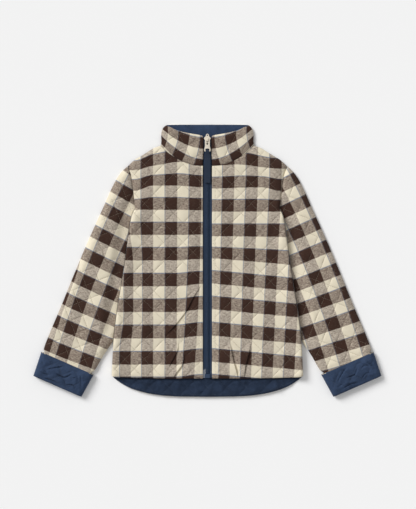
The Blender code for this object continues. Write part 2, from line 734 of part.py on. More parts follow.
make_back()
make_front("front_left", 1, FOLDS_LEFT)
make_front("front_right", -1, FOLDS_RIGHT)
for where, sign in (("left", 1), ("right", -1)):
    make_sleeve("sleeve_" + where, sign)
    make_cuff("cuff_" + where, sign)
make_collar()
make_zip()
make_slider()
make_pull()
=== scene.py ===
"""Dresses a child's reversible quilted jacket, zipped up and laid flat on its back.

Metres, +Z up, +Y towards the collar. The wearer's left is at +X.
"""

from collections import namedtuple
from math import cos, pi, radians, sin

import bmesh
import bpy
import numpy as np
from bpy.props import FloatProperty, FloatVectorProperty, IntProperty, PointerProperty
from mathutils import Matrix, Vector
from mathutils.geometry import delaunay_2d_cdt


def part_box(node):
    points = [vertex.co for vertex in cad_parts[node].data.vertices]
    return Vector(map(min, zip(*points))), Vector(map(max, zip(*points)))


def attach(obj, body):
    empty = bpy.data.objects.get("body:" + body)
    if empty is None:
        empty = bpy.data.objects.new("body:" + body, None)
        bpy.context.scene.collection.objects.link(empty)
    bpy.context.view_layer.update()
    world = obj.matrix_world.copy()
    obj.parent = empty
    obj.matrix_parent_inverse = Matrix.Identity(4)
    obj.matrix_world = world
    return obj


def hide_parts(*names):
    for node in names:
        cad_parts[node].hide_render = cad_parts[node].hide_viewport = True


bl_info = {
    "name": "Reversible Quilted Jacket",
    "version": (1, 0, 0),
    "blender": (4, 5, 0),
    "location": "View3D > Sidebar > Jacket",
    "description": "Quilted check cloth, navy lining, sewing and zip of a jacket laid flat",
    "category": "Object",
}

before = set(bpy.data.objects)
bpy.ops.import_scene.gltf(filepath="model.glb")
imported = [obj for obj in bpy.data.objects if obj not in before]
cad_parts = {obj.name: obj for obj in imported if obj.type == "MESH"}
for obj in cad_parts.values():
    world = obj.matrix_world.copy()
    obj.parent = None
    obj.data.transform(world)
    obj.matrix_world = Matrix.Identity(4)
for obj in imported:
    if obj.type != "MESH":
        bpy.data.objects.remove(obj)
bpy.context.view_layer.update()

MM = 0.001
Crease = namedtuple("Crease", "path width height lip", defaults=(0.0,))

# Heights of the cloth's layers and of the zip on them, and the runs over which the cloth rises or rounds
WALL = 2.4 * MM
SEAM = 0.3 * MM
SEWN = 0.1 * MM
LOFT = 3.4 * MM
LOFT_RUN = 24 * MM
SIDE_RUN = 2 * MM
FOLD_ROUND = 7 * MM
UNDER_HOLLOW = 0.9 * MM
VALLEY = 20 * MM
SLEEVE_FOLD_Z = 3.6 * MM
COLLAR_FOLD_Z = 4.2 * MM
CUFF_FOLD_Z = 5.8 * MM
BACK_TOP = WALL
FRONT_IN = WALL + SEAM
CHAIN_FOOT = FRONT_IN + LOFT
CHAIN_TOP = CHAIN_FOOT + 1.8 * MM
TAPE_TOP = CHAIN_FOOT - SEAM
PLATE_FOOT = CHAIN_TOP + SEAM
PIVOT = Vector((0.0, 217.0 * MM, PLATE_FOOT + 2.5 * MM))

# Half outlines in millimetres, out from the zip and up from the middle of the jacket
ZIP_EDGE = 8.3
HEM_CORNER = (172.6, -207.0)
UNDERARM = (130.5, 95.0)
SHOULDER_END = (143.5, 170.0)
NECK_CORNER = (84.1, 207.2)
COLLAR_CORNER = (75.8, 243.1)
COLLAR_TIP = (6.9, 221.8)
FRONT_FOOT = (ZIP_EDGE, -212.0)
FRONT_TOP = (ZIP_EDGE, 170.6)
FRONT_HEM = (FRONT_FOOT, (60.0, -212.0), (130.0, -210.8), (164.0, -209.5), HEM_CORNER)
BACK_HEM = ((0.0, -245.2), (60.0, -244.2), (95.0, -240.8), (122.0, -235.0), (146.0, -226.0), (163.0, -215.5),
            HEM_CORNER)
BODY_SIDE = (HEM_CORNER, (169.2, -144.5), (162.5, -88.7), (156.6, -52.7), (149.4, -7.7), (144.4, 30.2),
             (137.7, 75.2), UNDERARM)
ARMHOLE = (UNDERARM, (131.6, 105.8), (133.2, 121.9), (135.9, 141.8), (138.2, 156.2), SHOULDER_END)
SHOULDER = (SHOULDER_END, (131.4, 181.4), (119.7, 188.5), (108.0, 195.8), (96.3, 203.0), NECK_CORNER)
NECK_FRONT = (NECK_CORNER, (69.0, 192.9), (46.8, 179.6), (26.1, 172.4), FRONT_TOP)
NECK_BACK = (NECK_CORNER, (54.0, 197.6), (0.0, 193.0))
SLEEVE_OUTER = ((293.2, -164.5), (294.4, -158.5), (286.2, -135.5), (261.9, -77.9), (238.5, -20.3),
                (214.2, 37.4), (188.1, 95.0), (175.5, 123.8), (164.7, 145.4), (154.8, 159.8), (144.1, 169.9))
SLEEVE_GAP = ((170.0, -144.5), (176.5, -154.5), (188.0, -171.5), (201.4, -195.0), (208.6, -200.8))
COLLAR_SIDE = ((83.8, 207.6), (82.9, 215.5), (83.2, 226.4), (81.0, 237.2), COLLAR_CORNER)
COLLAR_TOP_FRONT = (COLLAR_CORNER, (67.1, 240.8), (52.2, 234.1), (31.0, 229.2), (11.5, 225.9), (8.3, 223.6),
                    COLLAR_TIP)
COLLAR_ZIP_EDGE = (COLLAR_TIP, (6.9, 204.0), (7.6, 186.0), FRONT_TOP)
COLLAR_TOP_BACK = (COLLAR_CORNER, (66.0, 245.0), (0.0, 245.2))

# Turned-back cuff, in its own frame at the middle of its upper edge
CUFF_CENTRE = np.array((251.8, -184.3)) * MM
CUFF_TILT = radians(23.6)
CUFF_ACROSS = np.array((cos(CUFF_TILT), sin(CUFF_TILT)))
CUFF_DOWN = np.array((sin(CUFF_TILT), -cos(CUFF_TILT)))
CUFF_TOP_HALF = 51.3 * MM
CUFF_END_HALF = 47.2 * MM
CUFF_DEPTH = 45.5 * MM
CUFF_LIP = 7 * MM
CUFF_SLIT = 1.5 * MM
SLEEVE_IN_CUFF = 5.6 * MM
LIFT_RUN = 30 * MM
SLEEVE_GRAIN = radians(24)
COLLAR_GRAIN = radians(18)

# Quilting: places of the points between two sewn lines, closer beside the lines
QUILT_SHARES = (0.0, 0.045, 0.1, 0.17, 0.26, 0.37, 0.5, 0.63, 0.74, 0.83, 0.9, 0.955)
FINE_SHARES = tuple(step / 20 for step in range(20))
UNDER_SHARES = (0.0, 0.1, 0.3, 0.5, 0.7, 0.9)
# Crossings of two sewn lines, millimetres
TAIL_CROSSING = (0.0, -228.0)
UNDER_CROSSING = (0.0, -10.0)
FRONT_CROSSING = (26.0, -194.5)
SLEEVE_CROSSING = (190.0, 20.0)
COLLAR_CROSSING = (40.0, 205.0)
# Rows of points beside a fold and on both sides of a sharp crease, millimetres
FOLD_ROWS = (0.25, 0.8, 1.7, 2.9, 4.4, 6.2)
UNDER_FOLD_ROWS = (0.4, 1.2, 2.6, 4.4)
CREASE_ROWS = (-4.5, -3.2, -2.1, -1.2, -0.45, 0.0, 0.45, 1.2, 2.1, 3.2, 4.5)
# Sewing: its place beside a cuff's edge, the collar's edge and the zip, and its rise on the side laid down
CUFF_SEWING = 8.2 * MM
COLLAR_SEWING = 4.6 * MM
ZIP_SEWING = 6.2 * MM
UNDER_THREAD = 0.25 * MM

# Check, millimetres: its repeat on the back and cuffs, its start and repeat across each front and up the
# collar, the slant of the fronts' stripes, the heights of their brown rows, and the sleeves' curved grain
PLAIN_REPEAT = 44
RIGHT_START, RIGHT_REPEAT = -21.8, 43.3
LEFT_START, LEFT_REPEAT = 38.0, 42.5
COLLAR_START, COLLAR_REPEAT = 211, 40
SLANT_TOP, SLANT_RUN = 147, 324
BROWN_ROWS = (233.5, 189.3, 145.9, 102.7, 57.9, 12.3, -34.6, -80.4, -127.7, -175.2, -220.8)
SLEEVE_BEND = 2000.0
SLEEVE_BEND_CENTRE = (-1651.8, -755.7)
SLEEVE_BEND_START = radians(22.28)

# Laid one by one. A crease with a lip is a tuck: the cloth on the left of its path stands over the trough
CREASES_RIGHT = (
    Crease(((-76.0, -135.0), (-56.5, -113.9), (-38.5, -90.5), (-27.7, -69.8), (-13.0, -46.0)),
           3.2, -2.3, 1.9),
    Crease(((-12.0, -70.0), (-24.0, -92.0), (-40.0, -116.0)), 7.0, 0.7),
    Crease(((-61.0, -213.0), (-59.0, -206.0), (-51.0, -195.0), (-45.0, -186.0), (-41.0, -170.0)),
           4.2, -2.4, 2.1),
    Crease(((-70.0, -192.0), (-63.0, -179.0), (-55.0, -164.0), (-52.0, -150.0)), 3.6, -1.8, 1.6),
    Crease(((-36.0, -168.0), (-34.0, -192.0), (-30.0, -213.0)), 6.5, 0.9),
    Crease(((-84.0, -160.0), (-86.0, -186.0), (-80.0, -213.0)), 6.0, 0.8),
    Crease(((-131.0, 98.0), (-118.0, 84.0), (-108.0, 62.0)), 5.0, -1.2),
    Crease(((-134.0, 84.0), (-126.0, 66.0), (-122.0, 40.0)), 5.5, 1.0),
    Crease(((-104.0, 178.0), (-96.0, 150.0), (-94.0, 118.0)), 8.0, 0.8),
    Crease(((-120.0, -60.0), (-112.0, -110.0), (-115.0, -160.0)), 9.0, 0.7),
    Crease(((-92.0, -140.0), (-95.0, -175.0), (-93.0, -212.0)), 7.0, -0.8),
    Crease(((-140.0, -150.0), (-142.0, -180.0), (-139.0, -210.0)), 7.0, 0.8),
    Crease(((-28.0, 150.0), (-34.0, 110.0), (-30.0, 60.0)), 9.0, 0.5),
)
CREASES_LEFT = (
    Crease(((55.0, -214.0), (53.3, -204.0), (48.0, -184.0), (43.6, -166.0), (41.0, -150.0)), 4.2, -2.6, 2.3),
    Crease(((65.0, -214.0), (66.5, -204.0), (69.0, -186.0), (74.0, -168.0), (78.0, -150.0)), 4.2, -2.6, 2.3),
    Crease(((84.0, -156.0), (82.0, -180.0), (80.0, -213.0)), 6.0, -0.9),
    Crease(((28.0, -160.0), (30.0, -185.0), (33.0, -213.0)), 6.0, 0.8),
    Crease(((134.0, 84.0), (122.0, 66.0), (112.0, 38.0)), 5.0, -1.2),
    Crease(((140.0, 60.0), (131.0, 36.0), (128.0, 10.0)), 5.5, 1.0),
    Crease(((106.0, 176.0), (98.0, 148.0), (97.0, 116.0)), 8.0, 0.8),
    Crease(((118.0, -40.0), (108.0, -90.0), (112.0, -150.0)), 9.0, 0.8),
    Crease(((96.0, -150.0), (101.0, -180.0), (104.0, -212.0)), 7.0, 0.9),
    Crease(((140.0, -140.0), (138.0, -175.0), (142.0, -208.0)), 7.0, -0.8),
    Crease(((26.0, 130.0), (33.0, 90.0), (29.0, 40.0)), 9.0, 0.5),
)
# Half-outline places, mirrored for the other arm
CREASES_SLEEVE = (
    Crease(((146.0, 92.0), (160.0, 96.0), (176.0, 92.0)), 6.0, -0.9),
    Crease(((147.0, 74.0), (162.0, 76.0), (180.0, 66.0)), 6.0, 0.8),
    Crease(((152.0, 20.0), (176.0, 30.0), (202.0, 22.0)), 7.0, -0.8),
    Crease(((158.0, 4.0), (180.0, 12.0), (210.0, 0.0)), 7.0, 0.7),
    Crease(((166.0, -66.0), (192.0, -58.0), (226.0, -72.0)), 7.0, -0.7),
    Crease(((180.0, -128.0), (214.0, -120.0), (252.0, -132.0)), 8.0, 0.8),
    Crease(((196.0, -158.0), (226.0, -150.0), (268.0, -142.0)), 6.0, -0.9),
    Crease(((216.0, 10.0), (226.0, -24.0), (244.0, -62.0)), 9.0, 0.7),
)
CREASES_UNDER_SLEEVE = (
    Crease(((150.0, 60.0), (172.0, 66.0), (190.0, 60.0)), 8.0, 0.5),
    Crease(((172.0, -40.0), (200.0, -30.0), (228.0, -44.0)), 8.0, 0.5),
    Crease(((196.0, -120.0), (224.0, -110.0), (254.0, -124.0)), 8.0, 0.5),
)
CREASES_UNDER_BACK = (
    Crease(((-130.0, 80.0), (-60.0, 64.0), (0.0, 70.0)), 10.0, 0.5),
    Crease(((132.0, 60.0), (70.0, 40.0), (20.0, 48.0)), 10.0, 0.5),
    Crease(((-70.0, -120.0), (-62.0, -170.0), (-66.0, -238.0)), 9.0, 0.5),
    Crease(((64.0, -130.0), (72.0, -180.0), (68.0, -238.0)), 9.0, 0.5),
)
CREASES_TAIL = (
    Crease(((-128.0, -216.0), (-112.0, -220.0), (-96.0, -231.0)), 4.0, 1.3),
    Crease(((-96.0, -214.0), (-88.0, -226.0), (-84.0, -242.0)), 4.5, -1.0),
    Crease(((-76.0, -224.0), (-58.0, -219.0), (-40.0, -226.0)), 4.0, 1.2),
    Crease(((-38.0, -214.0), (-30.0, -228.0), (-32.0, -244.0)), 4.0, -1.0),
    Crease(((-24.0, -236.0), (-8.0, -232.0), (10.0, -238.0)), 3.6, 1.1),
    Crease(((18.0, -214.0), (28.0, -230.0), (24.0, -244.0)), 4.5, 1.2),
    Crease(((44.0, -222.0), (60.0, -226.0), (76.0, -220.0)), 4.0, -0.9),
    Crease(((74.0, -216.0), (84.0, -226.0), (82.0, -242.0)), 4.5, 1.0),
    Crease(((118.0, -214.0), (124.0, -222.0), (122.0, -234.0)), 5.0, 1.0),
)
# Across and down from the middle of the cuff's upper edge
CREASES_CUFF = (
    Crease(((-30.0, 25.0), (-17.0, 15.0), (-4.0, 7.0)), 2.0, -2.3, 1.0),
    Crease(((-14.0, 23.0), (-5.0, 25.0), (5.0, 24.5), (15.0, 14.0)), 2.0, -2.4, 1.2),
    Crease(((-29.0, 40.0), (-10.0, 38.0), (4.0, 41.0)), 1.9, -2.0, 0.9),
    Crease(((31.7, 9.0), (36.0, 18.0), (42.0, 27.0)), 2.0, -2.0, 1.0),
    Crease(((12.0, 37.0), (24.0, 31.0), (34.0, 36.0)), 1.9, -2.0, 1.0),
    Crease(((-40.0, 31.0), (-30.0, 33.0), (-22.0, 31.0)), 1.8, -1.6, 0.8),
    Crease(((18.0, 20.0), (26.0, 17.0), (33.0, 21.0)), 1.8, -1.6, 0.8),
    Crease(((-20.0, 31.0), (-6.0, 33.0), (10.0, 32.0)), 3.6, 1.2),
    Crease(((24.0, 16.0), (27.0, 25.0), (25.0, 38.0)), 3.6, 1.0),
    Crease(((-35.0, 12.0), (-38.0, 24.0), (-35.0, 36.0)), 3.6, 1.0),
)
CREASES_COLLAR = (
    Crease(((80.0, 214.0), (66.0, 206.0), (50.0, 202.0)), 5.0, 0.7),
    Crease(((78.0, 230.0), (64.0, 222.0), (48.0, 219.0)), 5.0, -0.7),
    Crease(((30.0, 226.0), (26.0, 204.0), (30.0, 178.0)), 6.0, 0.5),
)

# Zip teeth: the middle of a tooth beside the zip's middle and above the chain's foot, and half its size
TOOTH_OUT, TOOTH_UP = 1.25 * MM, 0.88 * MM
TOOTH_HALF_WIDTH, TOOTH_HALF_HEIGHT = 1.62 * MM, 0.86 * MM

# Slider's top, from the bail's axis, millimetres, and how much its neck and ears change in width
SLIDER_NECK_UP, SLIDER_NECK_WIDTH = 5.6, 0.62
EAR_UP, EAR_OUT, EAR_WIDTH = 3.6, 5, 1.15
NOSE_FOOT, NOSE_TIP = 6.6, 7
NOSE_HOLE_UP, NOSE_HOLE_Z, NOSE_HOLE_RADIUS = 8.7, -1.9, 1.2
CUTTER_DEPTH = 4 * MM

# Pull tab, half outline and openings, and ribbon, from the bail's axis, millimetres
TAB_HALF_WIDTHS = ((0.7, 4.2), (-1.6, 4.5), (-5.0, 4.5), (-8.0, 4.4), (-11.0, 4.4), (-13.0, 4.8),
                   (-14.6, 5.3), (-17.0, 5.7), (-19.4, 5.7), (-20.6, 4.9))
TAB_THICK = 1.2 * MM
WINDOW_HALF, WINDOW_FOOT, WINDOW_TOP = 1.6, -4.2, -0.7
HOLE_UP, HOLE_RADIUS = -6.7, 1.8
ARCH_HALF, ARCH_FOOT, ARCH_TOP = 3.6, -18.8, -16.9
CROWN_UP, CROWN_FLAT = -17.0, 0.5
RIBBON_HALF = 5.6 * MM
RIBBON_GATHER = 2.4 * MM
RIBBON_PLY_HALF = 0.39 * MM
RIBBON_PATH = ((-76.7, -1.1), (-60.0, -1.1), (-45.0, -1.05), (-34.0, -1.0), (-29.0, -0.75), (-25.6, -0.25),
               (-22.8, 0.75), (-21.2, 1.3), (-19.7, 1.36), (-18.5, 1.05), (-18.05, 0.0), (-18.5, -1.05),
               (-19.7, -1.36), (-21.4, -1.4), (-25.0, -1.62), (-31.7, -2.02), (-45.0, -2.1), (-60.0, -2.1),
               (-76.7, -2.1))

# Camera and light, metres, and the sensor in millimetres: the view has its height at the view's distance
CAMERA_PLACE = (1.08 * MM, 11.25 * MM, 3.0)
VIEW_DISTANCE = 2.994
VIEW_HEIGHT = 0.9162
SENSOR_HEIGHT = 36.0
SUN_PLACE = (-1.8, 1.5, 1.55)
SUN_STRENGTH = 2.76
SUN_ANGLE = radians(26)
ROOM_STRENGTH = 0.5


class JacketSizes(bpy.types.PropertyGroup):
    """Sizes of the cloth's relief and of the sewing"""
    quilt_half: FloatProperty(name="Half Diamond", description="Half the diagonal of a quilted diamond",
                              default=17.5 * MM, min=8 * MM, max=40 * MM, unit="LENGTH", precision=4)
    quilt_rise: FloatProperty(name="Quilt Rise", description="How far the check cloth swells between lines",
                              default=1.4 * MM, min=0.0, max=4 * MM, unit="LENGTH", precision=4)
    lining_rise: FloatProperty(name="Lining Rise", description="How far the lining swells between lines",
                               default=1.9 * MM, min=0.0, max=3 * MM, unit="LENGTH", precision=4)
    under_groove: FloatProperty(name="Under Groove",
                                description="Depth of the sewn lines on the side laid down",
                                default=0.5 * MM, min=0.0, max=1 * MM, unit="LENGTH", precision=4)
    edge_roll: FloatProperty(name="Edge Roll", description="How far a sewn edge rounds down",
                             default=1.2 * MM, min=0.0, max=2 * MM, unit="LENGTH", precision=4)
    stitch: FloatProperty(name="Stitch", description="Length of one stitch that shows",
                          default=2.5 * MM, min=1 * MM, max=6 * MM, unit="LENGTH", precision=4)
    stitch_pitch: FloatProperty(name="Stitch Pitch", description="From one stitch to the next",
                                default=3.3 * MM, min=1.2 * MM, max=8 * MM, unit="LENGTH", precision=4)
    thread: FloatProperty(name="Thread", description="Thickness of the sewing thread",
                          default=0.42 * MM, min=0.1 * MM, max=1.5 * MM, unit="LENGTH", precision=4)
    outline_step: FloatProperty(name="Outline Step", description="Distance between points on a cut edge",
                                default=4.2 * MM, min=2.5 * MM, max=15 * MM, unit="LENGTH", precision=4)
    coil_pitch: FloatProperty(name="Coil Pitch", description="From one zip tooth to the next",
                              default=1.25 * MM, min=0.8 * MM, max=3 * MM, unit="LENGTH", precision=5)
    seed: IntProperty(name="Seed", description="Start of the unevenness of cloth and sewing",
                      default=7, min=0)


class JacketColours(bpy.types.PropertyGroup):
    """Colours of the finishes"""
    cream: FloatVectorProperty(name="Cream Yarn", description="Light yarn of the check", size=3,
                               subtype="COLOR", min=0.0, max=1.0, default=(0.8, 0.724, 0.565))
    brown: FloatVectorProperty(name="Brown Yarn", description="Dark yarn of the check", size=3,
                               subtype="COLOR", min=0.0, max=1.0, default=(0.043, 0.02, 0.0138))
    blue: FloatVectorProperty(name="Blue Yarn", description="Fine yarn beside the brown, crossing cream",
                              size=3, subtype="COLOR", min=0.0, max=1.0, default=(0.15, 0.185, 0.26))
    ink: FloatVectorProperty(name="Ink Yarn", description="Fine yarn beside the brown, crossing brown",
                             size=3, subtype="COLOR", min=0.0, max=1.0, default=(0.017, 0.018, 0.04))
    navy: FloatVectorProperty(name="Lining", description="Navy cotton of the inside", size=3,
                              subtype="COLOR", min=0.0, max=1.0, default=(0.0315, 0.053, 0.104))
    tape: FloatVectorProperty(name="Zip Tape", description="Woven tape, coil and ribbon", size=3,
                              subtype="COLOR", min=0.0, max=1.0, default=(0.0135, 0.0295, 0.063))
    thread: FloatVectorProperty(name="Thread", description="Sewing on the check side", size=3,
                                subtype="COLOR", min=0.0, max=1.0, default=(0.25, 0.2, 0.14))
    metal: FloatVectorProperty(name="Zip Metal", description="Champagne plated zip parts", size=3,
                               subtype="COLOR", min=0.0, max=1.0, default=(0.88, 0.79, 0.65))
    floor: FloatVectorProperty(name="Floor", description="Pale table under the jacket", size=3,
                               subtype="COLOR", min=0.0, max=1.0, default=(0.905, 0.905, 0.905))


# Lines and distances
def ease(share):
    """0 to 1 with a soft start and a soft end."""
    share = np.clip(share, 0.0, 1.0)
    return share * share * (3.0 - 2.0 * share)


def round_up(share):
    """Quarter-round profile: 0 at an edge, 1 from where the cloth is level."""
    share = np.clip(share, 0.0, 1.0)
    return np.sqrt(1.0 - (1.0 - share) ** 2)


def rolled(rim, run, share=1.0):
    """How far a sewn edge has rounded down, over a run from its rim."""
    return share * sizes().edge_roll * (1.0 - round_up(rim / run))


def sewn_groove(gap, deep, wide):
    """Depth of the cloth drawn in by a line of sewing."""
    return deep * np.exp(-((gap / wide) ** 2))


def divide(line, step):
    """The run with evenly spaced points, about a step apart."""
    steps = np.hypot(*np.diff(line, axis=0).T)
    at = np.concatenate([[0.0], np.cumsum(steps)])
    count = max(1, round(at[-1] / step))
    even = np.linspace(0.0, at[-1], count + 1)
    return np.stack([np.interp(even, at, line[:, k]) for k in range(line.shape[1])], 1)


def smooth_line(knots, step):
    """Smooth run through its knots, evenly divided."""
    knots = np.array(knots, float)
    ends = np.vstack([knots[:1] * 2 - knots[1:2], knots, knots[-1:] * 2 - knots[-2:-1]])
    fine = []
    for a, b, c, d in zip(ends, ends[1:], ends[2:], ends[3:]):
        for t in np.arange(12) / 12:
            fine.append(0.5 * (2 * b + (c - a) * t + (2 * a - 5 * b + 4 * c - d) * t ** 2
                               + (3 * b - a - 3 * c + d) * t ** 3))
    fine.append(knots[-1])
    return divide(np.array(fine), step)


def curve(points):
    """Smooth edge through places in millimetres."""
    return smooth_line(np.array(points) * MM, sizes().outline_step)


def shifted(line, distance):
    """The run moved to its left by a distance."""
    ahead = np.gradient(line, axis=0)
    ahead /= np.maximum(np.hypot(*ahead.T), 1e-9)[:, None]
    return line + np.stack([-ahead[:, 1], ahead[:, 0]], 1) * distance


def mirrored(line):
    """The run on the other side of the zip, in the opposite order."""
    return line[::-1] * (-1.0, 1.0)


def for_side(runs, side):
    """An outline's runs on the wearer's left, or mirrored for the right."""
    if side > 0:
        return runs
    return [(mirrored(line), folded) for line, folded in reversed(runs)]


def nearest(points, line):
    """Distance of each point from a run, how far along it the nearest place is, 0 to 1, and its left side."""
    steps = np.hypot(*np.diff(line, axis=0).T)
    begin = np.concatenate([[0.0], np.cumsum(steps)])
    best = np.full(len(points), 10.0)
    share = np.zeros(len(points))
    left = np.zeros(len(points), bool)
    for a, b, at, step in zip(line, line[1:], begin, steps):
        along = b - a
        spot = points - a
        place = np.clip(spot @ along / max(along @ along, 1e-14), 0.0, 1.0)
        gap = np.hypot(*(spot - place[:, None] * along).T)
        closer = gap < best
        best = np.where(closer, gap, best)
        share = np.where(closer, (at + place * step) / begin[-1], share)
        left = np.where(closer, along[0] * spot[:, 1] > along[1] * spot[:, 0], left)
    return best, share, left


def distance(points, lines):
    """Distance of each point from the nearest of some runs."""
    best = np.full(len(points), 10.0)
    for line in lines:
        best = np.minimum(best, nearest(points, line)[0])
    return best


def inside(points, outline):
    """Which points lie within a closed outline."""
    odd = np.zeros(len(points), bool)
    x, y = points.T
    for a, b in zip(outline, np.roll(outline, -1, axis=0)):
        if a[1] != b[1]:
            crosses = (a[1] > y) != (b[1] > y)
            odd ^= crosses & (x < a[0] + (y - a[1]) / (b[1] - a[1]) * (b[0] - a[0]))
    return odd


def unevenness(points, size, seed):
    """Smooth uneven heights, about -1 to 1."""
    chance = np.random.default_rng(seed + sizes().seed)
    total = np.zeros(len(points))
    for _ in range(8):
        turn, stretch, start = chance.uniform(0, 2 * pi), chance.uniform(0.6, 1.6), chance.uniform(0, 2 * pi)
        total += np.sin((points @ (cos(turn), sin(turn))) * 2 * pi * stretch / size + start)
    return total / 4.0


def crease_height(points, creases, side=1.0):
    """Soft ridges and troughs laid one by one, uneven along their length."""
    total = np.zeros(len(points))
    for number, crease in enumerate(creases):
        path = smooth_line(np.array(crease.path) * MM * (side, 1.0), 4 * MM)
        gap, share, left = nearest(points, path)
        wide = crease.width * MM * (0.75 + 0.6 * ease(share) + 0.25 * unevenness(points, 60 * MM, number))
        ends = ease(share * 4.0 + 0.15) * ease((1.0 - share) * 3.0 + 0.25)
        uneven = 0.85 + 0.3 * unevenness(points, 38 * MM, number + 40)
        trough = crease.height * MM * np.exp(-(gap / wide) ** 2)
        if crease.lip:
            over = ease(np.where(left, gap, -gap) / (0.8 * MM) + 0.5)
            trough = trough + (crease.lip * MM * np.exp(-(gap / (2.6 * wide)) ** 2) - trough) * over
        total += trough * ends * uneven
    return total


def crease_rows(creases):
    """Points of their own along the sharp creases, and the paths that they follow."""
    paths = [smooth_line(np.array(crease.path) * MM, 2.2 * MM) for crease in creases if crease.lip]
    rows = [shifted(path, side * MM) for path in paths for side in CREASE_ROWS]
    return np.vstack(rows), paths


def sizes():
    return bpy.context.scene.jacket_sizes


def colours():
    return bpy.context.scene.jacket_colours


# Quilting
class Quilt:
    """Diamonds sewn through the cloth: a lattice of crossing lines at 45 degrees to the grain."""

    def __init__(self, crossing, turn=0.0, side=1.0):
        turn = side * turn
        self.origin = np.array(crossing) * MM * (side, 1.0)
        self.right = np.array((cos(turn), sin(turn)))
        self.up = np.array((-sin(turn), cos(turn)))
        self.half = sizes().quilt_half

    def lattice(self, points):
        spot = points - self.origin
        x, y = spot @ self.right, spot @ self.up
        return (x + y) / (2 * self.half), (x - y) / (2 * self.half)

    def place(self, a, b):
        return self.origin + np.outer(a + b, self.right) * self.half + np.outer(a - b, self.up) * self.half

    def swell(self, points, power):
        """0 on the sewn lines, 1 in the middle of a diamond."""
        a, b = self.lattice(points)
        return np.abs(np.sin(pi * a) * np.sin(pi * b)) ** power

    def sunk(self, points, rim):
        """Depth of the sewn lines on the side laid down, none at a rim."""
        return sizes().under_groove * (1.0 - self.swell(points, 0.4)) * ease(rim / (5 * MM))

    def spread(self, outline, shares):
        """Points on the lines and between them, over the outline's box."""
        a, b = self.lattice(outline)
        lines_a = np.arange(np.floor(a.min()), np.ceil(a.max()))
        lines_b = np.arange(np.floor(b.min()), np.ceil(b.max()))
        all_a = (lines_a[:, None] + np.array(shares)).ravel()
        all_b = (lines_b[:, None] + np.array(shares)).ravel()
        grid_a, grid_b = np.meshgrid(all_a, all_b)
        points = self.place(grid_a.ravel(), grid_b.ravel())
        return points[inside(points, outline)]

    def stitches(self, outline):
        """Middle and direction of every stitch of the quilting over the outline."""
        a, b = self.lattice(outline)
        step = sizes().stitch_pitch / (self.half * 2 ** 0.5)
        along = np.arange(min(a.min(), b.min()) - 1, max(a.max(), b.max()) + 1, step)
        places, ways = [], []
        for line in range(int(np.floor(a.min())), int(np.ceil(a.max())) + 1):
            places.append(self.place(np.full(len(along), float(line)), along))
            ways.append(np.tile((self.right - self.up) / 2 ** 0.5, (len(along), 1)))
        for line in range(int(np.floor(b.min())), int(np.ceil(b.max())) + 1):
            places.append(self.place(along, np.full(len(along), float(line))))
            ways.append(np.tile((self.right + self.up) / 2 ** 0.5, (len(along), 1)))
        places, ways = np.vstack(places), np.vstack(ways)
        kept = inside(places, outline)
        return places[kept], ways[kept]


# Cloth
class Layer:
    """One lying layer of cloth: its outline in runs, the heights of its two faces and their weave."""

    def __init__(self, runs, shown, hidden, weave, fold_z=None, corners_on_edge=True):
        self.shown, self.hidden, self.weave = shown, hidden, weave
        self.fold_z = fold_z or (lambda p: np.zeros(len(p)))
        self.outline = np.vstack([line[:-1] for line, _ in runs])
        self.open_edge = np.concatenate([np.full(len(line) - 1, not folded) for line, folded in runs])
        self.on_fold = ~self.open_edge | ~np.roll(self.open_edge, 1)
        self.folds = [line for line, folded in runs if folded]
        self.opens = [line for line, folded in runs if not folded]
        self.inner = np.array([self.inset(i, corners_on_edge) for i in range(len(self.outline))])
        self.shown_points = np.zeros((0, 2))
        self.hidden_points = np.zeros((0, 2))
        self.looks = (0, 1, 0)
        self.fold_sink = 0.0

    def inset(self, i, corners_on_edge):
        """Outline point of the hidden face: a wall further in along a fold."""
        here = self.outline[i]
        before = self.outline[i - 1]
        after = self.outline[(i + 1) % len(self.outline)]
        if not self.on_fold[i]:
            return here
        ahead = after - before
        if self.open_edge[i]:
            ahead = here - before
            if corners_on_edge:
                return here + (after - here) / np.hypot(*(after - here)) * WALL
        elif self.open_edge[i - 1]:
            ahead = after - here
            if corners_on_edge:
                return here + (before - here) / np.hypot(*(before - here)) * WALL
        ahead = ahead / np.hypot(*ahead)
        return here + np.array((-ahead[1], ahead[0])) * WALL

    def edge_gap(self, points):
        return distance(points, self.opens)

    def fold_gap(self, points):
        return distance(points, self.folds)

    def fill(self, points, depths=()):
        """Inner points of the shown face, with rows of their own beside folds and edges."""
        edges = np.vstack([shifted(line, 1.3 * MM)[1:-1] for line in self.opens])
        edges = edges[inside(edges, self.outline)]
        edges = edges[self.edge_gap(edges) > 1.2 * MM]
        points = points[self.edge_gap(points) > 2.6 * MM]
        rows = np.zeros((0, 2))
        if self.folds:
            rows = np.vstack([shifted(line, depth * MM) for line in self.folds for depth in depths])
            rows = rows[inside(rows, self.outline)]
            rows = rows[(self.edge_gap(rows) > 1.6 * MM) & (self.fold_gap(rows) > 0.8 * depths[0] * MM)]
            points = points[self.fold_gap(points) > (depths[-1] + 0.9) * MM]
            edges = edges[self.fold_gap(edges) > 2.0 * MM]
        self.shown_points = np.vstack([points, rows, edges])

    def fill_hidden(self, step):
        """Inner points of the hidden face, on a plain grid."""
        low, high = self.inner.min(0), self.inner.max(0)
        grid = np.stack(np.meshgrid(np.arange(low[0], high[0], step), np.arange(low[1], high[1], step)), -1)
        grid = grid.reshape(-1, 2) + step / 3
        grid = grid[inside(grid, self.inner)]
        closed = np.vstack([self.inner, self.inner[:1]])
        self.hidden_points = grid[distance(grid, [closed]) > 0.4 * step]


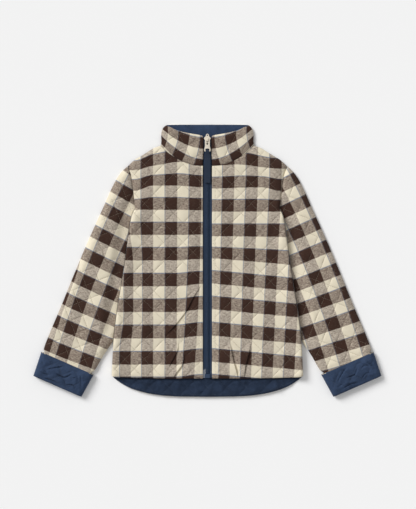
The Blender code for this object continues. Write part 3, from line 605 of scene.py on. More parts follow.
def triangles(outline, points):
    """Triangulation over an outline and its inner points, numbered outline first."""
    spots = [Vector(p) for p in np.vstack([outline, points])]
    _, _, faces, origin, _, _ = delaunay_2d_cdt(spots, [], [list(range(len(outline)))], 1, 1e-9)
    source = [min(from_points) for from_points in origin]
    return [[source[i] for i in face] for face in faces]


def corner_points(mesh):
    """Number of the point at each face corner."""
    corners = np.zeros(len(mesh.loops), np.int32)
    mesh.loops.foreach_get("vertex_index", corners)
    return corners


def set_weave(mesh, weave):
    """Places in the weave, one for each face corner."""
    mesh.uv_layers.new(name="weave").data.foreach_set("uv", weave.astype(np.float32).ravel())


def made_from(mesh, finishes, merge=None, sharp=None):
    """The mesh with its faces outwards, smooth and in its finishes, as an object of the same name."""
    bm = bmesh.new()
    bm.from_mesh(mesh)
    if merge:
        bmesh.ops.remove_doubles(bm, verts=bm.verts, dist=merge)
    bmesh.ops.recalc_face_normals(bm, faces=bm.faces)
    bm.to_mesh(mesh)
    bm.free()
    mesh.shade_smooth()
    if sharp:
        mesh.set_sharp_from_angle(angle=radians(sharp))
    for look in finishes:
        mesh.materials.append(look)
    made = bpy.data.objects.new(mesh.name, mesh)
    bpy.context.scene.collection.objects.link(made)
    return made


def cloth(name, layers, finishes):
    """A closed wall: the shown and hidden faces of each layer, joined along its open edges."""
    verts, faces, looks, weaves = [], [], [], []
    for number, layer in enumerate(layers):
        count = len(layer.outline)
        starts = []
        for outline, points, height, look, sink in (
                (layer.outline, layer.shown_points, layer.shown, layer.looks[0], 0.0),
                (layer.inner, layer.hidden_points, layer.hidden, layer.looks[1], layer.fold_sink)):
            flat = np.vstack([outline, points])
            z = height(flat)
            z[:count] = np.where(layer.on_fold, layer.fold_z(layer.outline) - sink, z[:count])
            starts.append(len(verts))
            found = triangles(outline, points)
            faces += [[i + starts[-1] for i in face] for face in found]
            looks += [look(flat[np.array(found)].mean(1)) if callable(look) else np.full(len(found), look)]
            weaves += [number] * len(found)
            verts += np.column_stack([flat, z]).tolist()
        rims = [i for i in range(count) if layer.open_edge[i]]
        for i in rims:
            j = (i + 1) % count
            faces.append([starts[0] + i, starts[0] + j, starts[1] + j, starts[1] + i])
        look = layer.looks[2]
        looks.append(look(layer.outline[rims]) if callable(look) else np.full(len(rims), look))
        weaves += [number] * len(rims)
    mesh = bpy.data.meshes.new(name)
    mesh.from_pydata(verts, [], faces)
    mesh.polygons.foreach_set("material_index", np.concatenate(looks).astype(np.int32))
    corners = corner_points(mesh)
    owners = np.repeat(weaves, [len(face) for face in faces])
    at = np.array(verts)[corners][:, :2]
    weave = np.zeros((len(corners), 2))
    for number, layer in enumerate(layers):
        mine = owners == number
        weave[mine] = layer.weave(at[mine])
    set_weave(mesh, weave)
    return made_from(mesh, finishes, merge=1e-6, sharp=55)


def settle(piece, slot, *nodes, body="jacket"):
    """The piece moves with its body and stands for its solids; the slot is not used."""
    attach(piece, body)
    if nodes:
        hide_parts(*nodes)
    return piece


def sew(name, places, ways, height, look, facing=1.0, body="jacket", slot="check_flannel"):
    """Thread lying on a face, one short pillow of thread for each stitch."""
    chance = np.random.default_rng(len(places) + sizes().seed)
    count = len(places)
    half = sizes().stitch / 2 * chance.uniform(0.86, 1.08, count)
    turn = chance.normal(0.0, 0.05, count)
    ways = np.stack([ways[:, 0] * np.cos(turn) - ways[:, 1] * np.sin(turn),
                     ways[:, 0] * np.sin(turn) + ways[:, 1] * np.cos(turn)], 1)
    thick = sizes().thread / 2
    across = np.stack([-ways[:, 1], ways[:, 0]], 1)
    shape = ((-1.0, 0.0, -0.5), (-0.62, 1.0, 0.1), (-0.62, 0.0, 0.95), (-0.62, -1.0, 0.1), (-0.62, 0.0, -0.6),
             (0.62, 1.0, 0.1), (0.62, 0.0, 0.95), (0.62, -1.0, 0.1), (0.62, 0.0, -0.6), (1.0, 0.0, -0.5))
    verts = np.zeros((count, len(shape), 3))
    for k, (along, beside, up) in enumerate(shape):
        spine = places + ways * (half * along)[:, None]
        verts[:, k, :2] = spine + across * thick * beside
        verts[:, k, 2] = height(spine) + facing * thick * up
    pattern = [(0, 2, 1), (0, 3, 2), (0, 4, 3), (0, 1, 4), (9, 5, 6), (9, 6, 7), (9, 7, 8), (9, 8, 5),
               (1, 2, 6, 5), (2, 3, 7, 6), (3, 4, 8, 7), (4, 1, 5, 8)]
    if facing > 0:
        pattern = [face[::-1] for face in pattern]
    faces = [[k + i * len(shape) for k in face] for i in range(count) for face in pattern]
    mesh = bpy.data.meshes.new(name)
    mesh.from_pydata(verts.reshape(-1, 3).tolist(), [], faces)
    return settle(made_from(mesh, [look]), slot, body=body)


def along_line(line):
    """Middles and directions of stitches along a run."""
    even = divide(line, sizes().stitch_pitch)
    way = np.diff(even, axis=0)
    return (even[1:] + even[:-1]) / 2, way / np.hypot(*way.T)[:, None]


def quilted(layer, quilt, clear_edge, clear_fold=3.0, seen=None):
    """The quilting's stitches that are clear of a layer's edges and pass a test of their places."""
    places, ways = quilt.stitches(layer.outline)
    kept = layer.edge_gap(places) > clear_edge * MM
    if layer.folds:
        kept &= layer.fold_gap(places) > clear_fold * MM
    if seen:
        kept &= seen(places)
    return places[kept], ways[kept]


# Finishes
class Value:
    """A number in a shader, so that shader maths reads as plain expressions."""

    def __init__(self, paint, socket):
        self.paint = paint
        self.socket = socket

    def other(self, name):
        return Value(self.paint, self.socket.node.outputs[name])

    def maths(self, operation, *values, clamp=False):
        return self.paint.node("ShaderNodeMath", {"operation": operation, "use_clamp": clamp},
                               dict(enumerate(values)))

    def __add__(self, value):
        return self.maths("ADD", self, value)

    __radd__ = __add__

    def __sub__(self, value):
        return self.maths("SUBTRACT", self, value)

    def __rsub__(self, value):
        return self.maths("SUBTRACT", value, self)

    def __mul__(self, value):
        return self.maths("MULTIPLY", self, value)

    def sine(self):
        return self.maths("SINE", self)

    def to_nearest(self):
        """Distance from the nearest whole number."""
        return self.maths("PINGPONG", self, 0.5)

    def held(self):
        """Kept between 0 and 1."""
        return self.maths("ADD", self, 0.0, clamp=True)


class Paint:
    """The nodes of one finish."""

    def __init__(self, name, **constants):
        self.finish = bpy.data.materials.new(name)
        self.finish.use_nodes = True
        self.tree = self.finish.node_tree
        self.shader = self.tree.nodes["Principled BSDF"]
        for key, value in constants.items():
            self.shader.inputs[key.replace("_", " ")].default_value = value

    def node(self, kind, settings, inputs, output=0):
        made = self.tree.nodes.new(kind)
        for key, value in settings.items():
            setattr(made, key, value)
        for key, value in inputs.items():
            self.feed(made.inputs[key], value)
        return Value(self, made.outputs[output])

    def feed(self, socket, value):
        if isinstance(value, Value):
            self.tree.links.new(value.socket, socket)
        else:
            socket.default_value = value

    def mix(self, share, first, second):
        return self.node("ShaderNodeMix", {"data_type": "RGBA"}, {0: share, 6: first, 7: second}, 2)

    def grain(self, vector, stretch, detail=2.0, rough=0.5):
        """Noise over a vector that is stretched along its axes."""
        placed = self.node("ShaderNodeVectorMath", {"operation": "MULTIPLY"}, {0: vector, 1: stretch})
        return self.node("ShaderNodeTexNoise", {}, {"Vector": placed, "Scale": 1.0, "Detail": detail,
                                                     "Roughness": rough})

    def weave_space(self):
        return self.node("ShaderNodeUVMap", {"uv_map": "weave"}, {})

    def object_space(self):
        return self.node("ShaderNodeTexCoord", {}, {}, "Object")

    def split(self, vector):
        x = self.node("ShaderNodeSeparateXYZ", {}, {0: vector})
        return x, x.other("Y"), x.other("Z")

    def relief(self, height, strength, depth):
        bump = self.node("ShaderNodeBump", {}, {"Height": height, "Strength": strength, "Distance": depth})
        self.feed(self.shader.inputs["Normal"], bump)

    def colour(self, value):
        self.feed(self.shader.inputs["Base Color"], value)

    def roughness(self, value):
        self.feed(self.shader.inputs["Roughness"], value)


def stripe(place, half, sharpness):
    """1 within half a stripe of a whole number of repeats, 0 outside."""
    return ((half - place.to_nearest()) * sharpness + 0.5).held()


def rgba(colour, lighter=1.0):
    return tuple(min(c * lighter, 1.0) for c in colour) + (1.0,)


def finish(name):
    """A finish by name, made the first time that it is asked for."""
    found = bpy.data.materials.get(name)
    return found or FINISHES[name](name)


def brushed_check(name):
    """Brushed check: brown and cream stripes both ways, a fine blue yarn beside the brown."""
    paint = Paint(name, Sheen_Weight=0.05, Sheen_Roughness=0.6, Specular_IOR_Level=0.08)
    weave = paint.weave_space()
    across, along, _ = paint.split(weave)
    fuzz = paint.grain(weave, (60.0, 60.0, 1.0)) - 0.5
    soft = fuzz + (paint.grain(weave, (5.0, 5.0, 1.0), 1.0) - 0.5) * 1.6
    warp = stripe(across + soft * 0.022, 0.25, 55.0)
    weft = stripe(along + soft * 0.022, 0.25, 55.0)
    both = warp * weft
    twill = ((across + along) * (2 * pi * 46.0)).sine()
    slubs = paint.grain(weave, (7.5, 30.0, 1.0), 3.0, 0.7) - 0.5
    ticks = paint.grain(weave, (26.0, 11.0, 1.0), 3.0, 0.7) - 0.5
    heather = slubs * 1.25 + ticks * 0.65
    down, over = warp - both, weft - both
    mixed_a = down * (0.49 + heather * 1.6 + twill * 0.2)
    mixed_b = over * (0.68 + heather * 1.5 + twill * 0.18)
    plain = (1.0 - warp - weft + both) * (0.02 + (heather * 0.3).held())
    brown_share = (both * (1.0 + heather * 0.1) + mixed_a + mixed_b + plain).held()
    tone = colours()
    worn = (paint.grain(weave, (1.3, 1.3, 1.0), 3.0) * 1.6 - 0.3 + twill * 0.06 + heather * 0.3).held()
    light = paint.mix(brown_share, rgba(tone.cream, 1.04), rgba(tone.brown, 1.12))
    deep = paint.mix(brown_share, rgba(tone.cream, 0.88), rgba(tone.brown, 0.82))
    base = paint.mix(worn, deep, light)
    warp_tint, weft_tint = (0.42, 0.342, 0.32, 1.0), (0.3, 0.21, 0.18, 1.0)
    base = paint.mix(down * 0.3, base, warp_tint)
    base = paint.mix(over * 0.3, base, weft_tint)
    line_up = stripe(along - 0.26, 0.017, 80.0)
    line_left = stripe(across + 0.26, 0.017, 80.0)
    yarn_left = paint.mix(weft, rgba(tone.blue), rgba(tone.ink))
    yarn_up = paint.mix(warp, rgba(tone.blue), rgba(tone.ink))
    base = paint.mix((line_left * (0.7 + heather * 0.5)).held(), base, yarn_left)
    paint.colour(paint.mix((line_up * (0.88 + heather * 0.5)).held(), base, yarn_up))
    paint.roughness(0.86 + heather * 0.16)
    nap = paint.grain(weave, (90.0, 90.0, 1.0), 3.0, 0.65)
    paint.relief(nap * 0.8 + twill * 0.12, 0.55, 0.0006)
    return paint.finish


def navy_cotton(name, depth=1.0, pucker=1.0):
    """Plain woven navy cotton, washed and puckered; a depth below 1 darkens it as painted shade."""
    paint = Paint(name, Sheen_Weight=0.05, Sheen_Roughness=0.5, Specular_IOR_Level=0.12)
    weave = paint.weave_space()
    across, along, _ = paint.split(weave)
    threads = (across * (2 * pi * 60.0)).sine() + (along * (2 * pi * 60.0)).sine()
    slubs = paint.grain(weave, (14.0, 110.0, 1.0), 3.0, 0.6) - 0.5
    ticks = paint.grain(weave, (110.0, 14.0, 1.0), 3.0, 0.6) - 0.5
    worn = paint.grain(weave, (2.2, 2.2, 1.0), 4.0, 0.6)
    tone = colours().navy
    faded = (worn * 1.1 + (slubs + ticks) * 0.8 + threads * 0.05 - 0.2).held()
    paint.colour(paint.mix(faded, rgba(tone, 0.62 * depth), rgba(tone, 1.5 * depth)))
    paint.roughness(0.78 + (slubs + ticks) * 0.2)
    crumple = paint.grain(weave, (7.0, 7.0, 1.0), 3.0, 0.55)
    paint.relief(crumple * 1.2 + threads * 0.05 + (slubs + ticks) * 0.2, 0.6, 0.0012 * pucker)
    return paint.finish


def flannel_edge(name):
    """Turned cut edge of the brushed cloth, mostly its cream yarn."""
    paint = Paint(name, Sheen_Weight=0.2, Specular_IOR_Level=0.2)
    weave = paint.weave_space()
    flecks = paint.grain(weave, (60.0, 60.0, 1.0), 3.0, 0.6)
    bands = paint.grain(weave, (1.6, 1.6, 1.0), 1.0)
    tone = colours()
    brown_share = (flecks * 0.9 + bands * 0.9 - 0.7).held()
    paint.colour(paint.mix(brown_share, rgba(tone.cream, 0.62), rgba(tone.brown, 2.5)))
    paint.roughness(0.85 + flecks * 0.1)
    paint.relief(flecks, 0.5, 0.0005)
    return paint.finish


def sewing_thread(name, colour):
    """Twisted thread."""
    paint = Paint(name, Sheen_Weight=0.2, Specular_IOR_Level=0.3)
    place = paint.object_space()
    x, y, _ = paint.split(place)
    twist = ((x + y * 0.6) * 9000.0).sine()
    uneven = paint.grain(place, (180.0, 180.0, 180.0), 2.0)
    paint.colour(paint.mix((uneven * 0.7 + twist * 0.15).held(), rgba(colour, 0.75), rgba(colour, 1.25)))
    paint.roughness(0.6 + uneven * 0.2)
    paint.relief(twist, 0.3, 0.0001)
    return paint.finish


def woven_tape(name):
    """Ribbed zip tape."""
    paint = Paint(name, Sheen_Weight=0.12, Specular_IOR_Level=0.3)
    place = paint.object_space()
    x, y, _ = paint.split(place)
    ribs = (x * (2 * pi / 0.00125)).sine()
    picks = (y * (2 * pi / 0.0009)).sine()
    uneven = paint.grain(place, (260.0, 40.0, 100.0), 3.0)
    tone = colours().tape
    lit = (0.5 + ribs * 0.22 + picks * 0.06 + (uneven - 0.5) * 0.7).held()
    paint.colour(paint.mix(lit, rgba(tone, 0.6), rgba(tone, 1.75)))
    paint.roughness(0.66 + uneven * 0.2)
    paint.relief(ribs * 0.8 + picks * 0.3, 0.6, 0.0003)
    return paint.finish


def ribbon_weave(name):
    """Grosgrain ribbon, ribbed across its length."""
    paint = Paint(name, Sheen_Weight=0.15, Specular_IOR_Level=0.3)
    weave = paint.weave_space()
    across, along, _ = paint.split(weave)
    ribs = (along * (2 * pi / 0.00095)).sine()
    ends = (across * (2 * pi / 0.0007)).sine()
    edge = ((across.maths("ABSOLUTE", across) - 0.0046) * 1500.0).held()
    uneven = paint.grain(weave, (500.0, 160.0, 1.0), 3.0)
    tone = colours().tape
    lit = (0.5 + ribs * 0.16 + ends * 0.08 + edge * 0.3 + (uneven - 0.5) * 0.7).held()
    paint.colour(paint.mix(lit, rgba(tone, 0.35), rgba(tone, 1.15)))
    paint.roughness(0.62 + uneven * 0.2)
    paint.relief(ribs * 0.7 + ends * 0.25, 0.6, 0.0003)
    return paint.finish


def moulded_coil(name):
    """Spun nylon of the zip's teeth and its foot."""
    paint = Paint(name, Specular_IOR_Level=0.45)
    place = paint.object_space()
    uneven = paint.grain(place, (700.0, 120.0, 400.0), 2.0)
    tone = colours().tape
    paint.colour(paint.mix(uneven, rgba(tone, 0.7), rgba(tone, 1.9)))
    paint.roughness(0.4 + uneven * 0.2)
    paint.relief(uneven, 0.2, 0.0001)
    return paint.finish


def champagne_metal(name):
    """Plated zinc, lightly rubbed, with painted shade on the slider where the tab covers it."""
    paint = Paint(name, Metallic=0.45)
    place = paint.object_space()
    x, y, z = paint.split(place)
    sharpness = 2000.0
    # Painted shade: the slider's top under the tab is coloured dark, standing in for the shade that the tab
    # casts
    between = ((3.6 * MM - x.maths("ABSOLUTE", x)) * sharpness).held()
    below = ((PIVOT.y + 0.5 * MM - y) * sharpness).held()
    under = between * below * ((PIVOT.z - 0.9 * MM - z) * sharpness).held()
    rubbed = paint.grain(place, (420.0, 420.0, 420.0), 4.0, 0.6)
    fine = paint.grain(place, (2400.0, 500.0, 900.0), 2.0)
    tone = colours().metal
    plated = paint.mix(rubbed, rgba(tone, 0.78), rgba(tone, 1.12))
    painted_shade_colour = (0.03, 0.022, 0.014, 1.0)
    paint.colour(paint.mix(under * 0.92, plated, painted_shade_colour))
    paint.roughness(0.2 + rubbed * 0.22 + fine * 0.06)
    paint.relief(fine, 0.12, 0.0001)
    return paint.finish


def clear_film(name):
    """Stiff clear film pressed over the end of the tape, with painted glints."""
    paint = Paint(name, Coat_Weight=0.6, Coat_Roughness=0.08, Specular_IOR_Level=0.6)
    place = paint.object_space()
    cloudy = paint.grain(place, (900.0, 500.0, 500.0), 3.0, 0.6)
    # Painted highlights: bright glints mixed into the film's colour
    painted_glint = ((paint.grain(place, (1500.0, 900.0, 900.0), 1.0) - 0.62) * 9.0).held()
    over_tape, pale, painted_highlight = (0.1, 0.12, 0.16, 1.0), (0.34, 0.36, 0.4, 1.0), (0.8, 0.82, 0.85, 1.0)
    base = paint.mix((cloudy * 1.3 - 0.3).held(), over_tape, pale)
    paint.colour(paint.mix(painted_glint, base, painted_highlight))
    paint.roughness(0.12 + cloudy * 0.25)
    paint.relief(cloudy, 0.35, 0.0004)
    return paint.finish


def pale_table(name):
    """Smooth pale table."""
    paint = Paint(name, Specular_IOR_Level=0.1)
    place = paint.object_space()
    faint = paint.grain(place, (3.0, 3.0, 3.0), 3.0)
    tone = colours().floor
    paint.colour(paint.mix(faint, rgba(tone, 0.995), rgba(tone, 1.005)))
    paint.roughness(0.9 + faint * 0.05)
    return paint.finish


FINISHES = {
    "brushed_check": brushed_check,
    "navy_cotton": navy_cotton,
    # A darker copy of the navy cotton: painted shade for the back's lining tail
    "inner_cotton": lambda name: navy_cotton(name, 0.62, 2.2),
    "flannel_edge": flannel_edge,
    "beige_thread": lambda name: sewing_thread(name, colours().thread),
    "navy_thread": lambda name: sewing_thread(name, rgba(colours().navy, 0.6)[:3]),
    "woven_tape": woven_tape,
    "ribbon_weave": ribbon_weave,
    "moulded_coil": moulded_coil,
    "champagne_metal": champagne_metal,
    "clear_film": clear_film,
    "pale_table": pale_table,
}


# Weave of each panel, in repeats of the check, with a brown stripe at every whole number
def plain_weave(points):
    return points / (PLAIN_REPEAT * MM)


def rows_up(level):
    """Repeats up to a height on the fronts."""
    return np.interp(level, BROWN_ROWS[::-1], np.arange(len(BROWN_ROWS)))


def shoulder_drop(x, y):
    """The grain falls towards the end of the shoulder."""
    return 13.5 * ease((np.abs(x) - 40) / 90) * ease((y - 135) / 50)


def slant(y):
    """How far a front's stripes have slanted, 0 at the chest and 1 near the hem."""
    return np.clip((SLANT_TOP - y) / SLANT_RUN, 0, 1.1)


def armhole_drop(x, y, deep, fade):
    """The grain is drawn down beside the armhole."""
    return deep * ease((np.abs(x) - 98) / 32) * ease((y - 102) / 24) * (1 - fade * ease((y - 140) / 32))


def right_front_weave(points):
    x, y = points.T / MM
    across = x + slant(y) ** 2 * 10.8 * ease((x + 58) / 14)
    squeeze = 0.3 * ease((70 - y) / 80) - 0.2 * ease((-95 - y) / 70)
    across = across - squeeze * np.maximum(-107.8 - x, 0.0)
    rise = np.interp(y, (-40, 12, 58, 102, 147), (4.4, 2.0, 0.0, -1.0, -3.5))
    level = y - rise * (1 - ease((-x - 12) / 45)) + shoulder_drop(x, y) + armhole_drop(x, y, 9.0, 0.2)
    return np.stack([(across - RIGHT_START) / RIGHT_REPEAT, rows_up(level)], 1)


def left_front_weave(points):
    x, y = points.T / MM
    across = x + slant(y) * (4.5 + 0.09 * x)
    low = ease((60 - y) / 75)
    neck = np.interp(y, (102, 147, 190), (0.0, -3.2, -5.0)) * (1 - ease((x - 12) / 70))
    level = y - low * (6 - 0.095 * x) + (1 - low) * 3.2 - neck
    level = level + shoulder_drop(x, y) + armhole_drop(x, y, 6.0, 1.0)
    return np.stack([(across - LEFT_START) / LEFT_REPEAT, rows_up(level)], 1)


def sleeve_weave(side):
    """Grain that bends with the arm; the two sleeves are cut at different places of the check."""
    start_out, start_up, repeat = (-15.5, -29.7, 44.3) if side > 0 else (0.0, 0.0, 43.7)

    def weave(points):
        x, y = (points / MM * (side, 1.0) - SLEEVE_BEND_CENTRE).T
        out = (np.hypot(x, y) - SLEEVE_BEND - start_out) / 45.0
        up = (SLEEVE_BEND * (np.arctan2(y, x) - SLEEVE_BEND_START) - start_up) / repeat
        if side < 0:
            gathered = 0.8 * ease((30 - points[:, 1] / MM) / 60)
            out = out + gathered * np.maximum(out - 0.25, 0.0)
            up = up + 0.035 - 0.07 * out
        return np.stack([out * side, up], 1)
    return weave


def collar_grain(points):
    """Grain that fans out below and rises round the neck: x, repeats out, where they start, repeats up."""
    x, y = points.T / MM
    bend = 0.0054 + 0.000057 * (201 - (y - 0.0058 * x * x))
    fan = np.maximum((231.6 - y) / 52.1, 0.0) ** 2
    start, repeat = 12.5 + 8.9 * fan, 39.0 + 9.2 * fan
    out = (np.abs(x) - start) / repeat - 0.75
    up = (y - np.clip(bend, 0.004, 0.0075) * x * x - COLLAR_START) / COLLAR_REPEAT
    return x, out, start / repeat, up


def collar_weave(points):
    x, out, _, up = collar_grain(points)
    return np.stack([np.where(x < 0, -out, out), up], 1)


def collar_back_weave(points):
    """The same grain, carried over the middle of the back without a break."""
    x, out, start, up = collar_grain(points)
    out = out + (start - 0.25) * np.clip(1 - np.abs(x) / 85, 0.0, 1.0)
    return np.stack([np.where(x < 0, -out - 2.0, out), up], 1)


# Panels
def make_back():
    right = np.vstack([curve(BACK_HEM)[:-1], curve(BODY_SIDE)[:-1], curve(ARMHOLE)[:-1], curve(SHOULDER)[:-1],
                       curve(NECK_BACK)])
    outline = np.vstack([right, mirrored(right)[1:]])
    hem = curve(FRONT_HEM)
    hems = [hem, mirrored(hem)]
    strip = np.vstack([hem[:-1], curve(BACK_HEM)[::-1]])
    strip = np.vstack([strip, mirrored(strip)])
    edge = np.vstack([mirrored(curve(BACK_HEM))[:-1], curve(BACK_HEM)])
    above = np.array((HEM_CORNER, HEM_CORNER)) * ((1, 1), (-1, 1)) + (0.0, 1.0)
    tail_area = np.vstack([edge + (0.0, -1 * MM), above * MM])
    rise = 1.4 * sizes().lining_rise
    tail = Quilt(TAIL_CROSSING)
    under = Quilt(UNDER_CROSSING)

    def curl(p):
        """The tail's free edge lifts off the table."""
        free = ease((distance(p, hems) - 5 * MM) / (18 * MM)) * inside(p, tail_area)
        return 3.4 * MM * free * (1.0 - ease(distance(p, [edge]) / (22 * MM)))

    def lining(p):
        rim = distance(p, [outline])
        shows = inside(p, strip)
        clear = ease(distance(p, hems) / (5 * MM))
        swell = rise * tail.swell(p, 0.7) * ease(rim / (6 * MM)) * clear
        crumple = 1.5 * crease_height(p, CREASES_TAIL) * ease(rim / (5 * MM))
        crumple = crumple + 0.6 * MM * unevenness(p, 16 * MM, 3)
        return BACK_TOP - rolled(rim, 3 * MM) + np.where(shows, swell + crumple * clear, 0.0) + curl(p)

    def laid(p):
        rim = distance(p, [outline])
        soft = np.maximum(crease_height(p, CREASES_UNDER_BACK), 0.0)
        hollow = np.minimum(under.sunk(p, rim) + soft, UNDER_HOLLOW)
        return hollow + 0.7 * MM * (1.0 - round_up(rim / (2.5 * MM))) + curl(p)

    back = Layer([(np.vstack([outline, outline[:1]]), False)], lining, laid, plain_weave)
    shown = tail.spread(outline, FINE_SHARES)
    fine = inside(shown, strip) & (distance(shown, hems) > 1.5 * MM)
    low, high = outline.min(0), outline.max(0)
    grid = np.stack(np.meshgrid(np.arange(low[0], high[0], 0.03), np.arange(-0.19, high[1], 0.03)), -1)
    grid = grid.reshape(-1, 2)
    grid = grid[inside(grid, outline) & ~inside(grid, strip)]
    grid = grid[distance(grid, [*hems, outline]) > 9 * MM]
    back.fill(np.vstack([shown[fine], grid]))
    points = under.spread(outline, UNDER_SHARES)
    back.hidden_points = points[distance(points, [back.opens[0]]) > 2.2 * MM]
    back.looks = (1, 0, 1)
    # The lining tail takes the darker navy copy, which is painted shade
    piece = cloth("back_panel_cloth", [back], [finish("brushed_check"), finish("inner_cotton")])
    settle(piece, "navy_lining", "back_panel")
    stitches = quilted(back, tail, 3.0, seen=lambda p: inside(p, strip) & (distance(p, hems) > 2.0 * MM))
    sewing = [sew("back_panel_tail_sewing", *stitches, lining, finish("navy_thread"), slot="navy_lining")]
    sewing.append(sew("back_panel_under_sewing", *quilted(back, under, 4.0), lambda p: laid(p) + UNDER_THREAD,
                      finish("beige_thread"), facing=-1.0))
    line = shifted(edge, 4.5 * MM)
    sewing.append(sew("back_hem_sewing", *along_line(line), lining, finish("navy_thread"),
                      slot="navy_lining"))


def make_front(name, side, creases, weave):
    low = [curve(BODY_SIDE), curve(ARMHOLE), curve(SHOULDER)]
    beside, *sewn = low if side > 0 else [mirrored(line) for line in low]
    zip_edge = divide(np.array((FRONT_TOP, FRONT_FOOT)) * MM, sizes().outline_step)
    hem, neck = curve(FRONT_HEM), curve(NECK_FRONT)
    runs = for_side([(line, False) for line in (hem, *low, neck, zip_edge)], side)
    quilt = Quilt(FRONT_CROSSING, side=side)
    zip_side = zip_edge * (side, 1.0)
    stitched = zip_side + np.array((side * ZIP_SEWING, 0.0))

    def under(p):
        gap = distance(p, [beside])
        loft = np.minimum(round_up(gap / SIDE_RUN), round_up(distance(p, sewn) / LOFT_RUN))
        loft = loft * (1.0 + 1.2 * np.exp(-((gap / (16 * MM)) ** 2)))
        return FRONT_IN + LOFT * loft + crease_height(p, creases) * ease(front.edge_gap(p) / (6 * MM) + 0.35)

    def shown(p):
        rim = front.edge_gap(p)
        by_zip = distance(p, [zip_side])
        flat = ease((by_zip - 5.0 * MM) / (9 * MM)) * 0.85 + 0.15
        swell = quilt.swell(p, 0.36) * ease(rim / (8 * MM)) * flat
        puckers = 0.18 * MM * unevenness(p, 9 * MM, 11) + 0.4 * MM * unevenness(p, 55 * MM, 12)
        groove = sewn_groove(distance(p, [stitched]), 0.35 * MM, 1.6 * MM)
        firm = np.minimum(distance(p, sewn), by_zip) < rim + 1e-6
        roll = rolled(rim, 3.2 * MM, np.where(firm, 0.55, 1.0))
        return under(p) + WALL + sizes().quilt_rise * swell + puckers * ease(rim / (8 * MM)) - groove - roll

    front = Layer(runs, shown, under, weave)
    points = quilt.spread(front.outline, QUILT_SHARES)
    rows, paths = crease_rows(creases)
    rows = rows[inside(rows, front.outline)]
    front.fill(np.vstack([points[distance(points, paths) > 5.6 * MM], rows]))
    front.fill_hidden(7 * MM)
    points = front.hidden_points
    rows = rows[front.edge_gap(rows) > 3 * MM]
    front.hidden_points = np.vstack([points[distance(points, paths) > 6 * MM], rows])
    piece = cloth(name + "_cloth", [front], [finish("brushed_check"), finish("navy_cotton")])
    settle(piece, "check_flannel", name)
    sewing = [sew(name + "_quilting", *quilted(front, quilt, 2.2), shown, finish("beige_thread"))]
    sewing.append(sew(name + "_zip_sewing", *along_line(stitched[2:-1]), shown, finish("beige_thread")))


# Sleeves and cuffs
def cuff_point(u, v):
    return CUFF_CENTRE + np.multiply.outer(u, CUFF_ACROSS) + np.multiply.outer(v, CUFF_DOWN)


def cuff_place(points):
    """Across and down from the middle of the cuff's upper edge, on either arm."""
    spot = np.stack([np.abs(points[:, 0]), points[:, 1]], 1) - CUFF_CENTRE
    return spot @ CUFF_ACROSS, spot @ CUFF_DOWN


def cuff_half(v):
    return CUFF_TOP_HALF + (CUFF_END_HALF - CUFF_TOP_HALF) * v / CUFF_DEPTH


